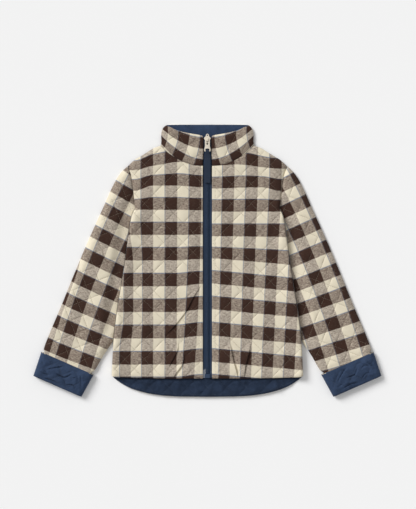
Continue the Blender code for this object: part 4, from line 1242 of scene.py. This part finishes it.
def make_sleeve(name, side):
    step = sizes().outline_step
    end_v = CUFF_DEPTH - CUFF_LIP - SEAM
    end_half = cuff_half(end_v) - SLEEVE_IN_CUFF
    top_half = cuff_half(0.0) - SLEEVE_IN_CUFF
    end = divide(np.array((cuff_point(-end_half, end_v), cuff_point(end_half, end_v))), step)
    in_cuff = np.array((cuff_point(end_half, end_v), cuff_point(top_half, 0.5 * MM)))
    outer = np.vstack([divide(in_cuff, step)[:-1], curve(SLEEVE_OUTER)])
    armhole = np.vstack([outer[-1:], shifted(curve(ARMHOLE), -SEWN)[::-1][1:]])
    beside = shifted(curve(BODY_SIDE), -0.8 * MM)[::-1]
    beside = beside[beside[:, 1] > -140 * MM]
    beside[0] = armhole[-1]
    in_cuff = np.array((cuff_point(-top_half, 0.5 * MM), cuff_point(-end_half, end_v)))
    inner = np.vstack([beside, curve(SLEEVE_GAP), divide(in_cuff, step)])
    runs = for_side([(end, False), (outer, True), (armhole, False), (inner, True)], side)
    armhole = runs[2][0] if side > 0 else runs[1][0]
    folds = [line for line, folded in runs if folded]
    away, by_body = folds[::int(side)]
    quilt = Quilt(SLEEVE_CROSSING, SLEEVE_GRAIN, side)

    def lift_share(p):
        return ease((cuff_place(p)[1] + LIFT_RUN) / (LIFT_RUN - 3 * MM))

    def lift(p):
        return (WALL + SEAM) * lift_share(p)

    def slack(p):
        """1 along the fold beside the body, where the cloth lies pressed flat."""
        return ease((p[:, 1] + 150 * MM) / (30 * MM)) * ease(2.0 - distance(p, [by_body]) / VALLEY)

    def fold_z(p):
        return SLEEVE_FOLD_Z + lift(p) * 0.85 - 1.0 * MM * slack(p)

    def tube(p):
        open_gap = SEAM + LOFT * round_up(distance(p, [armhole]) / LOFT_RUN)
        gap = open_gap + (CUFF_SLIT - open_gap) * lift_share(p)
        return WALL + lift(p) + gap * ease(distance(p, folds) / (2.5 * FOLD_ROUND) + 0.35)

    def rounding(p):
        """Share of its height that the cloth reaches beside its folds, with a valley beside the body."""
        gap = distance(p, [by_body])
        valley = 0.1 * round_up(gap / (2 * MM)) + 0.9 * ease((gap - 8 * MM) / VALLEY)
        near = valley * slack(p) + round_up(gap / FOLD_ROUND) * (1.0 - slack(p))
        return np.minimum(near, round_up(distance(p, [away]) / FOLD_ROUND))

    def upper_in(p):
        thick = (1.9 - 0.5 * slack(p)) * MM
        return np.maximum(np.minimum(tube(p), upper_out(p) - thick), lower_in(p) + 0.2 * MM)

    def upper_out(p):
        fold_gap = distance(p, folds)
        rim = distance(p, [armhole])
        free = ease((-cuff_place(p)[1] - 3 * MM) / (6 * MM))
        swell = quilt.swell(p, 0.36) * ease(rim / (8 * MM)) * ease(fold_gap / (10 * MM)) * free
        soft = crease_height(p, CREASES_SLEEVE, side) + 0.35 * MM * unevenness(p, 50 * MM, 21 + int(side))
        soft = soft * ease(fold_gap / (9 * MM)) * free + 0.14 * MM * unevenness(p, 9 * MM, 23) * free
        crest = tube(p) + WALL + sizes().quilt_rise * swell + soft * ease(rim / (6 * MM))
        return fold_z(p) + (crest - fold_z(p)) * rounding(p) - rolled(rim, 3.2 * MM, 0.6)

    def lower_in(p):
        return WALL + lift(p) - 1.0 * MM * slack(p)

    def lower_out(p):
        fold_gap = distance(p, folds)
        rim = distance(p, [armhole])
        sunk = quilt.sunk(p, rim) * ease(fold_gap / (9 * MM))
        soft = np.maximum(crease_height(p, CREASES_UNDER_SLEEVE, side), 0.0) * ease(fold_gap / (9 * MM))
        rest = lift(p) + np.minimum(sunk + soft, UNDER_HOLLOW) * (1.0 - lift_share(p))
        return rest + (fold_z(p) - rest) * (1.0 - round_up(fold_gap / (0.7 * FOLD_ROUND)))

    weave = sleeve_weave(side)
    upper = Layer(runs, upper_out, upper_in, weave, fold_z)
    lower = Layer(runs, lower_out, lower_in, weave, fold_z)
    upper.fold_sink = lower.fold_sink = 0.6 * MM
    upper.fill(quilt.spread(upper.outline, QUILT_SHARES), FOLD_ROWS)
    lower.fill(quilt.spread(lower.outline, UNDER_SHARES), UNDER_FOLD_ROWS)
    upper.fill_hidden(8 * MM)
    lower.fill_hidden(14 * MM)
    piece = cloth(name + "_cloth", [upper, lower], [finish("brushed_check"), finish("navy_cotton")])
    settle(piece, "check_flannel", name)
    stitches = quilted(upper, quilt, 2.2, seen=lambda p: cuff_place(p)[1] < -2.5 * MM)
    sewing = [sew(name + "_quilting", *stitches, upper_out, finish("beige_thread"))]
    stitches = quilted(lower, quilt, 4.0, 6.0, seen=lambda p: cuff_place(p)[1] < -6 * MM)
    sewing.append(sew(name + "_under_quilting", *stitches, lambda p: lower_out(p) + UNDER_THREAD,
                      finish("beige_thread"), facing=-1.0))


def make_cuff(name, side):
    step = sizes().outline_step
    mouth = divide(cuff_point(np.array((-CUFF_END_HALF, CUFF_END_HALF)), np.full(2, CUFF_DEPTH)), step)
    edge = divide(cuff_point(np.array((CUFF_TOP_HALF, -CUFF_TOP_HALF)), np.zeros(2)), step)
    runs = for_side([(mouth, False), (divide(np.array((mouth[-1], edge[0])), step), True), (edge, False),
                     (divide(np.array((edge[-1], mouth[0])), step), True)], side)
    folds = [line for line, folded in runs if folded]
    upper_foot = 3 * WALL + CUFF_SLIT + 2 * SEAM
    quilt = Quilt(cuff_point(0.0, 0.5 * CUFF_DEPTH) / MM, CUFF_TILT, side)

    def lip(p):
        return ease((cuff_place(p)[1] - CUFF_DEPTH + CUFF_LIP) / (0.25 * MM))

    def fold_z(p):
        return np.full(len(p), CUFF_FOLD_Z)

    def upper_in(p):
        return upper_foot - (WALL + SEAM) * lip(p)

    def upper_out(p):
        u, v = cuff_place(p)
        fold_gap = distance(p, folds)
        rim = np.minimum(v, CUFF_DEPTH - v)
        swell = quilt.swell(p, 0.55) * ease((rim - 3 * MM) / (8 * MM)) * ease(fold_gap / (9 * MM))
        soft = crease_height(np.stack([u, v], 1), CREASES_CUFF, side) * ease(rim / (6 * MM))
        soft += 0.25 * MM * unevenness(p, 16 * MM, 31 + int(side)) * ease(rim / (6 * MM))
        groove = sewn_groove(v - CUFF_SEWING, 0.45 * MM, 1.5 * MM)
        crest = upper_foot + WALL + sizes().lining_rise * swell + soft * ease(fold_gap / (9 * MM)) - groove
        roll = rolled(CUFF_DEPTH - v, 4.5 * MM, 1.5) + rolled(v, 1.6 * MM, 0.6)
        return CUFF_FOLD_Z + (crest - CUFF_FOLD_Z) * round_up(fold_gap / FOLD_ROUND) - roll

    def lower_in(p):
        return WALL + (WALL + SEAM) * lip(p)

    def lower_out(p):
        fold_gap = distance(p, folds)
        v = cuff_place(p)[1]
        rim = np.minimum(v, CUFF_DEPTH - v)
        sunk = quilt.sunk(p, rim) * ease(fold_gap / (9 * MM))
        rest = sunk + rolled(rim, 2.5 * MM, 0.7)
        return rest + (CUFF_FOLD_Z - rest) * (1.0 - round_up(fold_gap / (0.7 * FOLD_ROUND)))

    def weave(p):
        return np.stack(cuff_place(p), 1) * (side, -1.0) / (PLAIN_REPEAT * MM)

    def turned_edge(p):
        return np.where(cuff_place(p)[1] < 0.7 * MM, 2, 1)

    upper = Layer(runs, upper_out, upper_in, weave, fold_z)
    lower = Layer(runs, lower_out, lower_in, weave, fold_z)
    upper.looks, lower.looks = (turned_edge, 0, turned_edge), (1, 0, turned_edge)
    upper.fill(quilt.spread(upper.outline, FINE_SHARES), FOLD_ROWS)
    lower.fill(quilt.spread(lower.outline, UNDER_SHARES), UNDER_FOLD_ROWS)
    row = np.linspace(-0.94, 0.94, 9)
    lip_line = CUFF_DEPTH - CUFF_LIP
    marks = [cuff_point(row * (cuff_half(v) - WALL), np.full(len(row), v)) * (side, 1.0)
             for v in (lip_line + 0.3 * MM, lip_line, 25 * MM, 12 * MM)]
    upper.hidden_points = lower.hidden_points = np.vstack(marks)
    piece = cloth(name + "_cloth", [upper, lower],
                  [finish("brushed_check"), finish("navy_cotton"), finish("flannel_edge")])
    settle(piece, "navy_lining", name)
    stitches = quilted(upper, quilt, 3.0, seen=lambda p: cuff_place(p)[1] > 10 * MM)
    sewing = [sew(name + "_quilting", *stitches, upper_out, finish("navy_thread"), slot="navy_lining")]
    reach = CUFF_TOP_HALF - 5 * MM
    line = cuff_point(np.array((-reach, reach)), np.full(2, CUFF_SEWING)) * (side, 1.0)
    sewing.append(sew(name + "_edge_sewing", *along_line(line), upper_out, finish("navy_thread"),
                      slot="navy_lining"))


# Collar
def make_collar():
    base = np.array(COLLAR_SIDE[:1]) * MM
    fold = curve(COLLAR_SIDE)
    front_seam = np.vstack([base, shifted(curve(NECK_FRONT), -SEWN)[1:]])
    front_seam[-1, 0] = ZIP_EDGE * MM
    back_seam = np.vstack([base, shifted(curve(NECK_BACK), -SEWN)[1:]])
    front_top, back_top = curve(COLLAR_TOP_FRONT), curve(COLLAR_TOP_BACK)
    zip_edge = curve(COLLAR_ZIP_EDGE)
    zip_edge[0], zip_edge[-1] = front_top[-1], front_seam[-1]
    front_runs = [(front_seam[::-1], False), (fold, True), (front_top, False), (zip_edge, False)]
    folds = [fold, mirrored(fold)]
    quilts = {side: Quilt(COLLAR_CROSSING, COLLAR_GRAIN, side) for side in (1, -1)}
    tops = [front_top, mirrored(front_top)]
    rims = [line for run in (front_seam, front_top, zip_edge) for line in (run, mirrored(run))]
    back_rims = [np.vstack([line, mirrored(line)[1:]]) for line in (back_top, back_seam)]

    def fold_z(p):
        return np.full(len(p), COLLAR_FOLD_Z)

    def front_in(p):
        return FRONT_IN + LOFT * round_up(distance(p, folds) / LOFT_RUN)

    def front_out(side):
        def height(p):
            fold_gap = distance(p, folds)
            rim = distance(p, rims)
            swell = quilts[side].swell(p, 0.4) * ease(rim / (9 * MM)) * ease(fold_gap / (10 * MM))
            soft = crease_height(p, CREASES_COLLAR, side) + 0.3 * MM * unevenness(p, 30 * MM, 41)
            groove = sewn_groove(distance(p, tops) - COLLAR_SEWING, 0.35 * MM, 1.4 * MM)
            crest = front_in(p) + WALL + sizes().quilt_rise * swell + soft * ease(rim / (7 * MM)) - groove
            crest = COLLAR_FOLD_Z + (crest - COLLAR_FOLD_Z) * round_up(fold_gap / FOLD_ROUND)
            return crest - rolled(rim, 3.0 * MM)
        return height

    def inside_back(p):
        rim = distance(p, back_rims)
        soft = 0.7 * MM * unevenness(p, 16 * MM, 43) * ease(rim / (5 * MM))
        shown = ease(distance(p, tops) / (4 * MM)) * ease((p[:, 1] - 226 * MM) / (5 * MM))
        return BACK_TOP + soft * shown - 0.9 * MM * (1.0 - round_up(rim / (2.5 * MM)))

    def back_out(p):
        return COLLAR_FOLD_Z * (1.0 - round_up(distance(p, folds) / (0.7 * FOLD_ROUND)))

    layers, sewing = [], []
    for side in (1, -1):
        front = Layer(for_side(front_runs, side), front_out(side), front_in, collar_weave, fold_z, False)
        front.fill(quilts[side].spread(front.outline, QUILT_SHARES), FOLD_ROWS)
        front.fill_hidden(12 * MM)
        layers.append(front)
    back_runs = [(fold, True), (back_rims[0], False), (mirrored(fold), True),
                 (np.vstack([mirrored(back_seam[::-1])[:-1], back_seam[::-1]]), False)]
    back = Layer(back_runs, back_out, inside_back, collar_back_weave, fold_z, False)
    back.fill(quilts[1].spread(back.outline, UNDER_SHARES), UNDER_FOLD_ROWS)
    back.fill_hidden(5 * MM)
    layers.append(back)
    piece = cloth("collar_cloth", layers, [finish("brushed_check"), finish("navy_cotton")])
    settle(piece, "check_flannel", "collar")
    for side, layer in zip((1, -1), layers):
        where = "left" if side > 0 else "right"
        sewing.append(sew("collar_quilting_" + where, *quilted(layer, quilts[side], 3.0, 4.0), layer.shown,
                          finish("beige_thread")))
        top = shifted(front_top, COLLAR_SEWING)[2:-3] * (side, 1.0)
        sewing.append(sew("collar_edge_sewing_" + where, *along_line(top), layer.shown,
                          finish("beige_thread")))
        down = zip_edge[2:-2] * (side, 1.0) + np.array((side * ZIP_SEWING, 0.0))
        sewing.append(sew("collar_zip_sewing_" + where, *along_line(down), layer.shown,
                          finish("beige_thread")))


# Hard pieces, shaped with Blender's own tools
def deselect():
    bpy.ops.object.select_all(action="DESELECT")


def start_block(name, low, high, cuts=0):
    """A block at its size and place, cut into even slices."""
    deselect()
    low, high = Vector(low), Vector(high)
    bpy.ops.mesh.primitive_cube_add(size=1.0, location=(low + high) / 2)
    made = bpy.context.object
    made.name = made.data.name = name
    made.scale = high - low
    bpy.ops.object.transform_apply(location=True, rotation=True, scale=True)
    if cuts:
        bpy.ops.object.mode_set(mode="EDIT")
        bpy.ops.mesh.select_all(action="SELECT")
        bpy.ops.mesh.subdivide(number_cuts=cuts)
        bpy.ops.object.mode_set(mode="OBJECT")
    return made


def start_rod(name, centre, radius, depth, sides=24):
    """An upright rod at its size and place."""
    deselect()
    bpy.ops.mesh.primitive_cylinder_add(vertices=sides, radius=radius, depth=depth, location=centre)
    made = bpy.context.object
    made.name = made.data.name = name
    bpy.ops.object.transform_apply(location=True, rotation=True, scale=True)
    return made


def resize_where(piece, test, value, centre):
    """Scales the points of a piece that pass a test about a place."""
    make_active(piece)
    bpy.ops.object.mode_set(mode="EDIT")
    bpy.ops.mesh.select_all(action="DESELECT")
    bm = bmesh.from_edit_mesh(piece.data)
    for vert in bm.verts:
        vert.select = bool(test(vert.co))
    bm.select_flush(True)
    bmesh.update_edit_mesh(piece.data)
    if any(vert.select for vert in bm.verts):
        bpy.ops.transform.resize(value=value, center_override=centre)
    bpy.ops.object.mode_set(mode="OBJECT")


def make_active(piece):
    deselect()
    piece.select_set(True)
    bpy.context.view_layer.objects.active = piece


def apply(piece, kind, **settings):
    """Adds a modifier, sets it and applies it."""
    make_active(piece)
    step = piece.modifiers.new(kind.title(), kind)
    for key, value in settings.items():
        setattr(step, key, value)
    bpy.ops.object.modifier_apply(modifier=step.name)


def cut_away(piece, tool):
    """Cuts a tool's shape out of a piece, and takes the tool away."""
    apply(piece, "BOOLEAN", operation="DIFFERENCE", solver="EXACT", object=tool)
    bpy.data.objects.remove(tool, do_unlink=True)


def weld(piece):
    """Merges a copied solid's loose triangles into plain faces."""
    make_active(piece)
    bpy.ops.object.mode_set(mode="EDIT")
    bpy.ops.mesh.select_all(action="SELECT")
    bpy.ops.mesh.remove_doubles(threshold=1e-6)
    bpy.ops.mesh.dissolve_limited(angle_limit=radians(1))
    bpy.ops.object.mode_set(mode="OBJECT")


def soften(piece, width, segments=2):
    """Rounds the hard edges and shades the rest smooth."""
    apply(piece, "BEVEL", width=width, segments=segments, limit_method="ANGLE", angle_limit=radians(32),
          use_clamp_overlap=True)
    make_active(piece)
    bpy.ops.object.shade_smooth_by_angle(angle=radians(40))


def dress(piece, look):
    piece.data.materials.clear()
    piece.data.materials.append(finish(look))


def make_coil():
    """Two rows of spun teeth that mesh along the middle."""
    pitch = sizes().coil_pitch
    low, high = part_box("zip_chain")
    count = int((high.y - low.y - 2 * pitch) / pitch)
    middle = CHAIN_FOOT + TOOTH_UP
    rows = []
    for side in (1, -1):
        deselect()
        start = low.y + pitch * (0.75 if side > 0 else 1.25)
        bpy.ops.mesh.primitive_uv_sphere_add(segments=8, ring_count=5, radius=1.0,
                                             rotation=(0.0, pi / 2, 0.0),
                                             location=(side * TOOTH_OUT, start, middle))
        tooth = bpy.context.object
        tooth.name = tooth.data.name = "zip_teeth_" + ("left" if side > 0 else "right")
        bpy.ops.object.transform_apply(location=False, rotation=True, scale=False)
        tooth.scale = (TOOTH_HALF_WIDTH, 0.42 * pitch, TOOTH_HALF_HEIGHT)
        bpy.ops.object.transform_apply(location=True, rotation=False, scale=True)
        resize_where(tooth, lambda co: side * co.x < 0.35 * MM, (1.0, 1.25, 0.8), (0.0, start, middle))
        apply(tooth, "ARRAY", count=count, use_relative_offset=False, use_constant_offset=True,
              constant_offset_displace=(0.0, pitch, 0.0))
        make_active(tooth)
        bpy.ops.object.shade_smooth()
        dress(tooth, "moulded_coil")
        rows.append(tooth)
    settle(rows[0], "zip_coil", "zip_chain")
    settle(rows[1], "zip_coil")


def make_zip_foot():
    """Film over the ends of both tapes, and the pin beside the middle."""
    low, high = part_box("zip_box")
    pieces = []
    for name, from_x, to_x, length, look in (("zip_foot_film", -8.0, -4.75, 15, "clear_film"),
                                             ("zip_foot_film_left", 4.75, 8.0, 13, "moulded_coil")):
        film = start_block(name, (from_x * MM, low.y + 0.2 * MM, TAPE_TOP + 0.02 * MM),
                           (to_x * MM, low.y + length * MM, TAPE_TOP + 0.5 * MM), 3)
        soften(film, 0.2 * MM)
        dress(film, look)
        pieces.append(film)
    pin = start_block("zip_pin", (-4.5 * MM, high.y + 0.1 * MM, CHAIN_FOOT + 0.05 * MM),
                      (-3.15 * MM, high.y + 9 * MM, CHAIN_FOOT + 1.5 * MM), 2)
    resize_where(pin, lambda co: co.y > high.y + 6 * MM, (0.7, 1.0, 0.7),
                 (-3.8 * MM, high.y, CHAIN_FOOT + 0.7 * MM))
    soften(pin, 0.3 * MM)
    dress(pin, "clear_film")
    for piece in (*pieces, pin):
        settle(piece, "zip_coil")


def make_slider():
    """The solid's body with a narrowed top, ears at its shoulders and a longer nose with a hole."""
    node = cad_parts["zip_slider"]
    slider = bpy.data.objects.new("slider_shell", node.data.copy())
    bpy.context.scene.collection.objects.link(slider)
    weld(slider)
    neck = PIVOT.y + SLIDER_NECK_UP * MM
    resize_where(slider, lambda co: co.y > neck, (SLIDER_NECK_WIDTH, 1.0, 1.0), PIVOT)

    def is_ear(co):
        return abs(co.y - PIVOT.y - EAR_UP * MM) < 0.6 * MM and abs(co.x) > EAR_OUT * MM

    resize_where(slider, is_ear, (EAR_WIDTH, 1.0, 1.0), PIVOT)
    tip = PIVOT.y + NOSE_TIP * MM
    nose = (0.0, PIVOT.y + NOSE_FOOT * MM, PIVOT.z)
    resize_where(slider, lambda co: co.y > tip and abs(co.x) > 1 * MM, (1.25, 2.4, 1.0), nose)
    resize_where(slider, lambda co: co.y > tip and abs(co.x) < 0.5 * MM, (1.0, 8.0, 1.0), nose)
    hole = (0.0, PIVOT.y + NOSE_HOLE_UP * MM, PIVOT.z + NOSE_HOLE_Z * MM)
    cut_away(slider, start_rod("nose_hole", hole, NOSE_HOLE_RADIUS * MM, CUTTER_DEPTH))
    soften(slider, 0.28 * MM, 3)
    dress(slider, "champagne_metal")
    settle(slider, "zip_metal", "zip_slider")


def tab_block(name, half, foot, top, thick):
    """A block across the tab's middle, between two places from the bail's axis in millimetres."""
    return start_block(name, (-half * MM, PIVOT.y + foot * MM, PIVOT.z - thick / 2),
                       (half * MM, PIVOT.y + top * MM, PIVOT.z + thick / 2))


def make_tab():
    """A waisted plate with a window for the bail, a round hole and an arch for the ribbon."""
    reach = [up for up, _ in TAB_HALF_WIDTHS]
    half = max(wide for _, wide in TAB_HALF_WIDTHS)
    tab = tab_block("pull_tab_plate", half, min(reach), max(reach), TAB_THICK)
    make_active(tab)
    bpy.ops.object.mode_set(mode="EDIT")
    for up, _ in TAB_HALF_WIDTHS[1:-1]:
        bpy.ops.mesh.select_all(action="SELECT")
        bpy.ops.mesh.bisect(plane_co=(0.0, PIVOT.y + up * MM, 0.0), plane_no=(0.0, 1.0, 0.0))
    bpy.ops.object.mode_set(mode="OBJECT")
    for up, wide in TAB_HALF_WIDTHS:
        level = PIVOT.y + up * MM
        resize_where(tab, lambda co: abs(co.y - level) < 0.05 * MM, (wide / half, 1.0, 1.0),
                     (0.0, level, PIVOT.z))
    window = tab_block("window", WINDOW_HALF, WINDOW_FOOT, WINDOW_TOP, CUTTER_DEPTH)
    soften(window, 0.5 * MM)
    cut_away(tab, window)
    hole = (0.0, PIVOT.y + HOLE_UP * MM, PIVOT.z)
    cut_away(tab, start_rod("round_hole", hole, HOLE_RADIUS * MM, CUTTER_DEPTH))
    cut_away(tab, tab_block("arch_foot", ARCH_HALF, ARCH_FOOT, ARCH_TOP, CUTTER_DEPTH))
    above = (0.0, PIVOT.y + CROWN_UP * MM, PIVOT.z)
    crown = start_rod("arch_crown", above, ARCH_HALF * MM, CUTTER_DEPTH, 32)
    resize_where(crown, lambda co: True, (1.0, CROWN_FLAT, 1.0), above)
    cut_away(tab, crown)
    soften(tab, 0.3 * MM, 3)
    dress(tab, "champagne_metal")
    settle(tab, "zip_metal", "pull_tab", body="pull")


def make_ribbon():
    """A ribbon looped round the tab's bar, its two plies lying on the zip."""
    path = smooth_line(np.array(RIBBON_PATH) * MM, 0.9 * MM)
    ahead = np.gradient(path, axis=0)
    ahead /= np.hypot(*ahead.T)[:, None]
    normal = np.stack([-ahead[:, 1], ahead[:, 0]], 1)
    length = np.concatenate([[0.0], np.cumsum(np.hypot(*np.diff(path, axis=0).T))])
    shares = np.array((-1.0, -0.94, -0.8, -0.5, 0.0, 0.5, 0.8, 0.94, 1.0))
    half = RIBBON_HALF - RIBBON_GATHER * ease((path[:, 0] + 28 * MM) / (6.2 * MM))
    verts, weave = [], []
    for face in (1.0, -1.0):
        for k, place in enumerate(path):
            for share in shares:
                crown = RIBBON_PLY_HALF * (1.0 - 0.55 * ease((abs(share) - 0.8) / 0.2))
                spot = place + normal[k] * face * crown
                verts.append((share * half[k], PIVOT.y + spot[0], PIVOT.z + spot[1]))
                weave.append((share * RIBBON_HALF, length[k]))
    wide, long = len(shares), len(path)
    faces = []

    def number(face, k, s):
        return face * wide * long + k * wide + s

    for k in range(long - 1):
        for s in range(wide - 1):
            for face in (0, 1):
                faces.append([number(face, k, s), number(face, k, s + 1), number(face, k + 1, s + 1),
                              number(face, k + 1, s)])
        for s in (0, wide - 1):
            faces.append([number(0, k, s), number(0, k + 1, s), number(1, k + 1, s), number(1, k, s)])
    for k in (0, long - 1):
        for s in range(wide - 1):
            faces.append([number(0, k, s), number(0, k, s + 1), number(1, k, s + 1), number(1, k, s)])
    mesh = bpy.data.meshes.new("pull_ribbon_loop")
    mesh.from_pydata(verts, [], faces)
    set_weave(mesh, np.array(weave)[corner_points(mesh)])
    ribbon = made_from(mesh, [finish("ribbon_weave")], sharp=50)
    settle(ribbon, "ribbon", "pull_ribbon", body="pull")
    line = np.array(((-4.2, 0.0), (4.2, 0.0))) * MM + np.array((0.0, PIVOT.y - 33.5 * MM))
    top = PIVOT.z - 1.0 * MM + RIBBON_PLY_HALF
    sewing = sew("pull_ribbon_sewing", *along_line(line), lambda p: np.full(len(p), top),
                 finish("navy_thread"), body="pull", slot="ribbon")


# Operators
class JACKET_OT_back(bpy.types.Operator):
    """Makes the back with its lining tail below the fronts"""
    bl_idname = "jacket.make_back"
    bl_label = "Back"
    bl_options = {"REGISTER", "UNDO"}

    def execute(self, context):
        make_back()
        return {"FINISHED"}


class JACKET_OT_fronts(bpy.types.Operator):
    """Makes both quilted fronts with their creases and sewing"""
    bl_idname = "jacket.make_fronts"
    bl_label = "Fronts"
    bl_options = {"REGISTER", "UNDO"}

    def execute(self, context):
        make_front("front_left", 1.0, CREASES_LEFT, left_front_weave)
        make_front("front_right", -1.0, CREASES_RIGHT, right_front_weave)
        return {"FINISHED"}


class JACKET_OT_sleeves(bpy.types.Operator):
    """Makes both sleeves as flattened quilted tubes"""
    bl_idname = "jacket.make_sleeves"
    bl_label = "Sleeves"
    bl_options = {"REGISTER", "UNDO"}

    def execute(self, context):
        make_sleeve("sleeve_left", 1.0)
        make_sleeve("sleeve_right", -1.0)
        return {"FINISHED"}


class JACKET_OT_cuffs(bpy.types.Operator):
    """Makes both cuffs, turned back to show the lining"""
    bl_idname = "jacket.make_cuffs"
    bl_label = "Cuffs"
    bl_options = {"REGISTER", "UNDO"}

    def execute(self, context):
        make_cuff("cuff_left", 1.0)
        make_cuff("cuff_right", -1.0)
        return {"FINISHED"}


class JACKET_OT_collar(bpy.types.Operator):
    """Makes the standing collar, pressed flat"""
    bl_idname = "jacket.make_collar"
    bl_label = "Collar"
    bl_options = {"REGISTER", "UNDO"}

    def execute(self, context):
        make_collar()
        return {"FINISHED"}


class JACKET_OT_zip(bpy.types.Operator):
    """Makes the zip's teeth and foot, and finishes its tapes"""
    bl_idname = "jacket.make_zip"
    bl_label = "Zip"
    bl_options = {"REGISTER", "UNDO"}

    def execute(self, context):
        make_coil()
        make_zip_foot()
        for node in ("zip_tape_left", "zip_tape_right"):
            dress(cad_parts[node], "woven_tape")
        dress(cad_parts["zip_box"], "moulded_coil")
        return {"FINISHED"}


class JACKET_OT_slider(bpy.types.Operator):
    """Makes the zip's slider"""
    bl_idname = "jacket.make_slider"
    bl_label = "Slider"
    bl_options = {"REGISTER", "UNDO"}

    def execute(self, context):
        make_slider()
        return {"FINISHED"}


class JACKET_OT_pull(bpy.types.Operator):
    """Makes the pull tab and its ribbon"""
    bl_idname = "jacket.make_pull"
    bl_label = "Pull"
    bl_options = {"REGISTER", "UNDO"}

    def execute(self, context):
        make_tab()
        make_ribbon()
        return {"FINISHED"}


class JACKET_OT_stage(bpy.types.Operator):
    """Sets the pale table, the soft light and the camera straight above"""
    bl_idname = "jacket.set_stage"
    bl_label = "Stage"
    bl_options = {"REGISTER", "UNDO"}

    def execute(self, context):
        deselect()
        bpy.ops.mesh.primitive_plane_add(size=6.0, location=(0.0, 0.0, 0.0))
        table = bpy.context.object
        table.name = table.data.name = "table"
        dress(table, "pale_table")
        world = bpy.data.worlds.new("soft_room")
        world.use_nodes = True
        room = world.node_tree.nodes["Background"].inputs
        room["Color"].default_value = (1.0, 1.0, 1.0, 1.0)
        room["Strength"].default_value = ROOM_STRENGTH
        context.scene.world = world
        window = bpy.data.lights.new("window", "SUN")
        window.energy = SUN_STRENGTH
        window.angle = SUN_ANGLE
        lamp = bpy.data.objects.new("window", window)
        lamp.location = SUN_PLACE
        lamp.rotation_euler = (-lamp.location).to_track_quat("-Z", "Y").to_euler()
        context.scene.collection.objects.link(lamp)
        camera = bpy.data.cameras.new("above")
        camera.sensor_fit = "VERTICAL"
        camera.sensor_height = SENSOR_HEIGHT
        camera.lens = SENSOR_HEIGHT * VIEW_DISTANCE / VIEW_HEIGHT
        above = bpy.data.objects.new("above", camera)
        above.location = CAMERA_PLACE
        context.scene.collection.objects.link(above)
        context.scene.camera = above
        context.scene.view_settings.view_transform = "Standard"
        return {"FINISHED"}


class JACKET_PT_panel(bpy.types.Panel):
    """Lists the jacket's pieces"""
    bl_idname = "JACKET_PT_panel"
    bl_label = "Reversible Jacket"
    bl_space_type = "VIEW_3D"
    bl_region_type = "UI"
    bl_category = "Jacket"

    def draw(self, context):
        layout = self.layout
        for operator in OPERATORS:
            layout.operator(operator.bl_idname)
        for group in (context.scene.jacket_sizes, context.scene.jacket_colours):
            box = layout.box()
            for name in group.__annotations__:
                box.prop(group, name)


OPERATORS = (JACKET_OT_back, JACKET_OT_fronts, JACKET_OT_sleeves, JACKET_OT_cuffs, JACKET_OT_collar,
             JACKET_OT_zip, JACKET_OT_slider, JACKET_OT_pull, JACKET_OT_stage)
CLASSES = (JacketSizes, JacketColours, *OPERATORS, JACKET_PT_panel)


def register():
    for cls in CLASSES:
        bpy.utils.register_class(cls)
    bpy.types.Scene.jacket_sizes = PointerProperty(type=JacketSizes)
    bpy.types.Scene.jacket_colours = PointerProperty(type=JacketColours)


def unregister():
    del bpy.types.Scene.jacket_colours
    del bpy.types.Scene.jacket_sizes
    for cls in reversed(CLASSES):
        bpy.utils.unregister_class(cls)


def main():
    register()
    bpy.ops.jacket.make_back()
    bpy.ops.jacket.make_fronts()
    bpy.ops.jacket.make_sleeves()
    bpy.ops.jacket.make_cuffs()
    bpy.ops.jacket.make_collar()
    bpy.ops.jacket.make_zip()
    bpy.ops.jacket.make_slider()
    bpy.ops.jacket.make_pull()
    bpy.ops.jacket.set_stage()


if __name__ == "__main__":
    main()
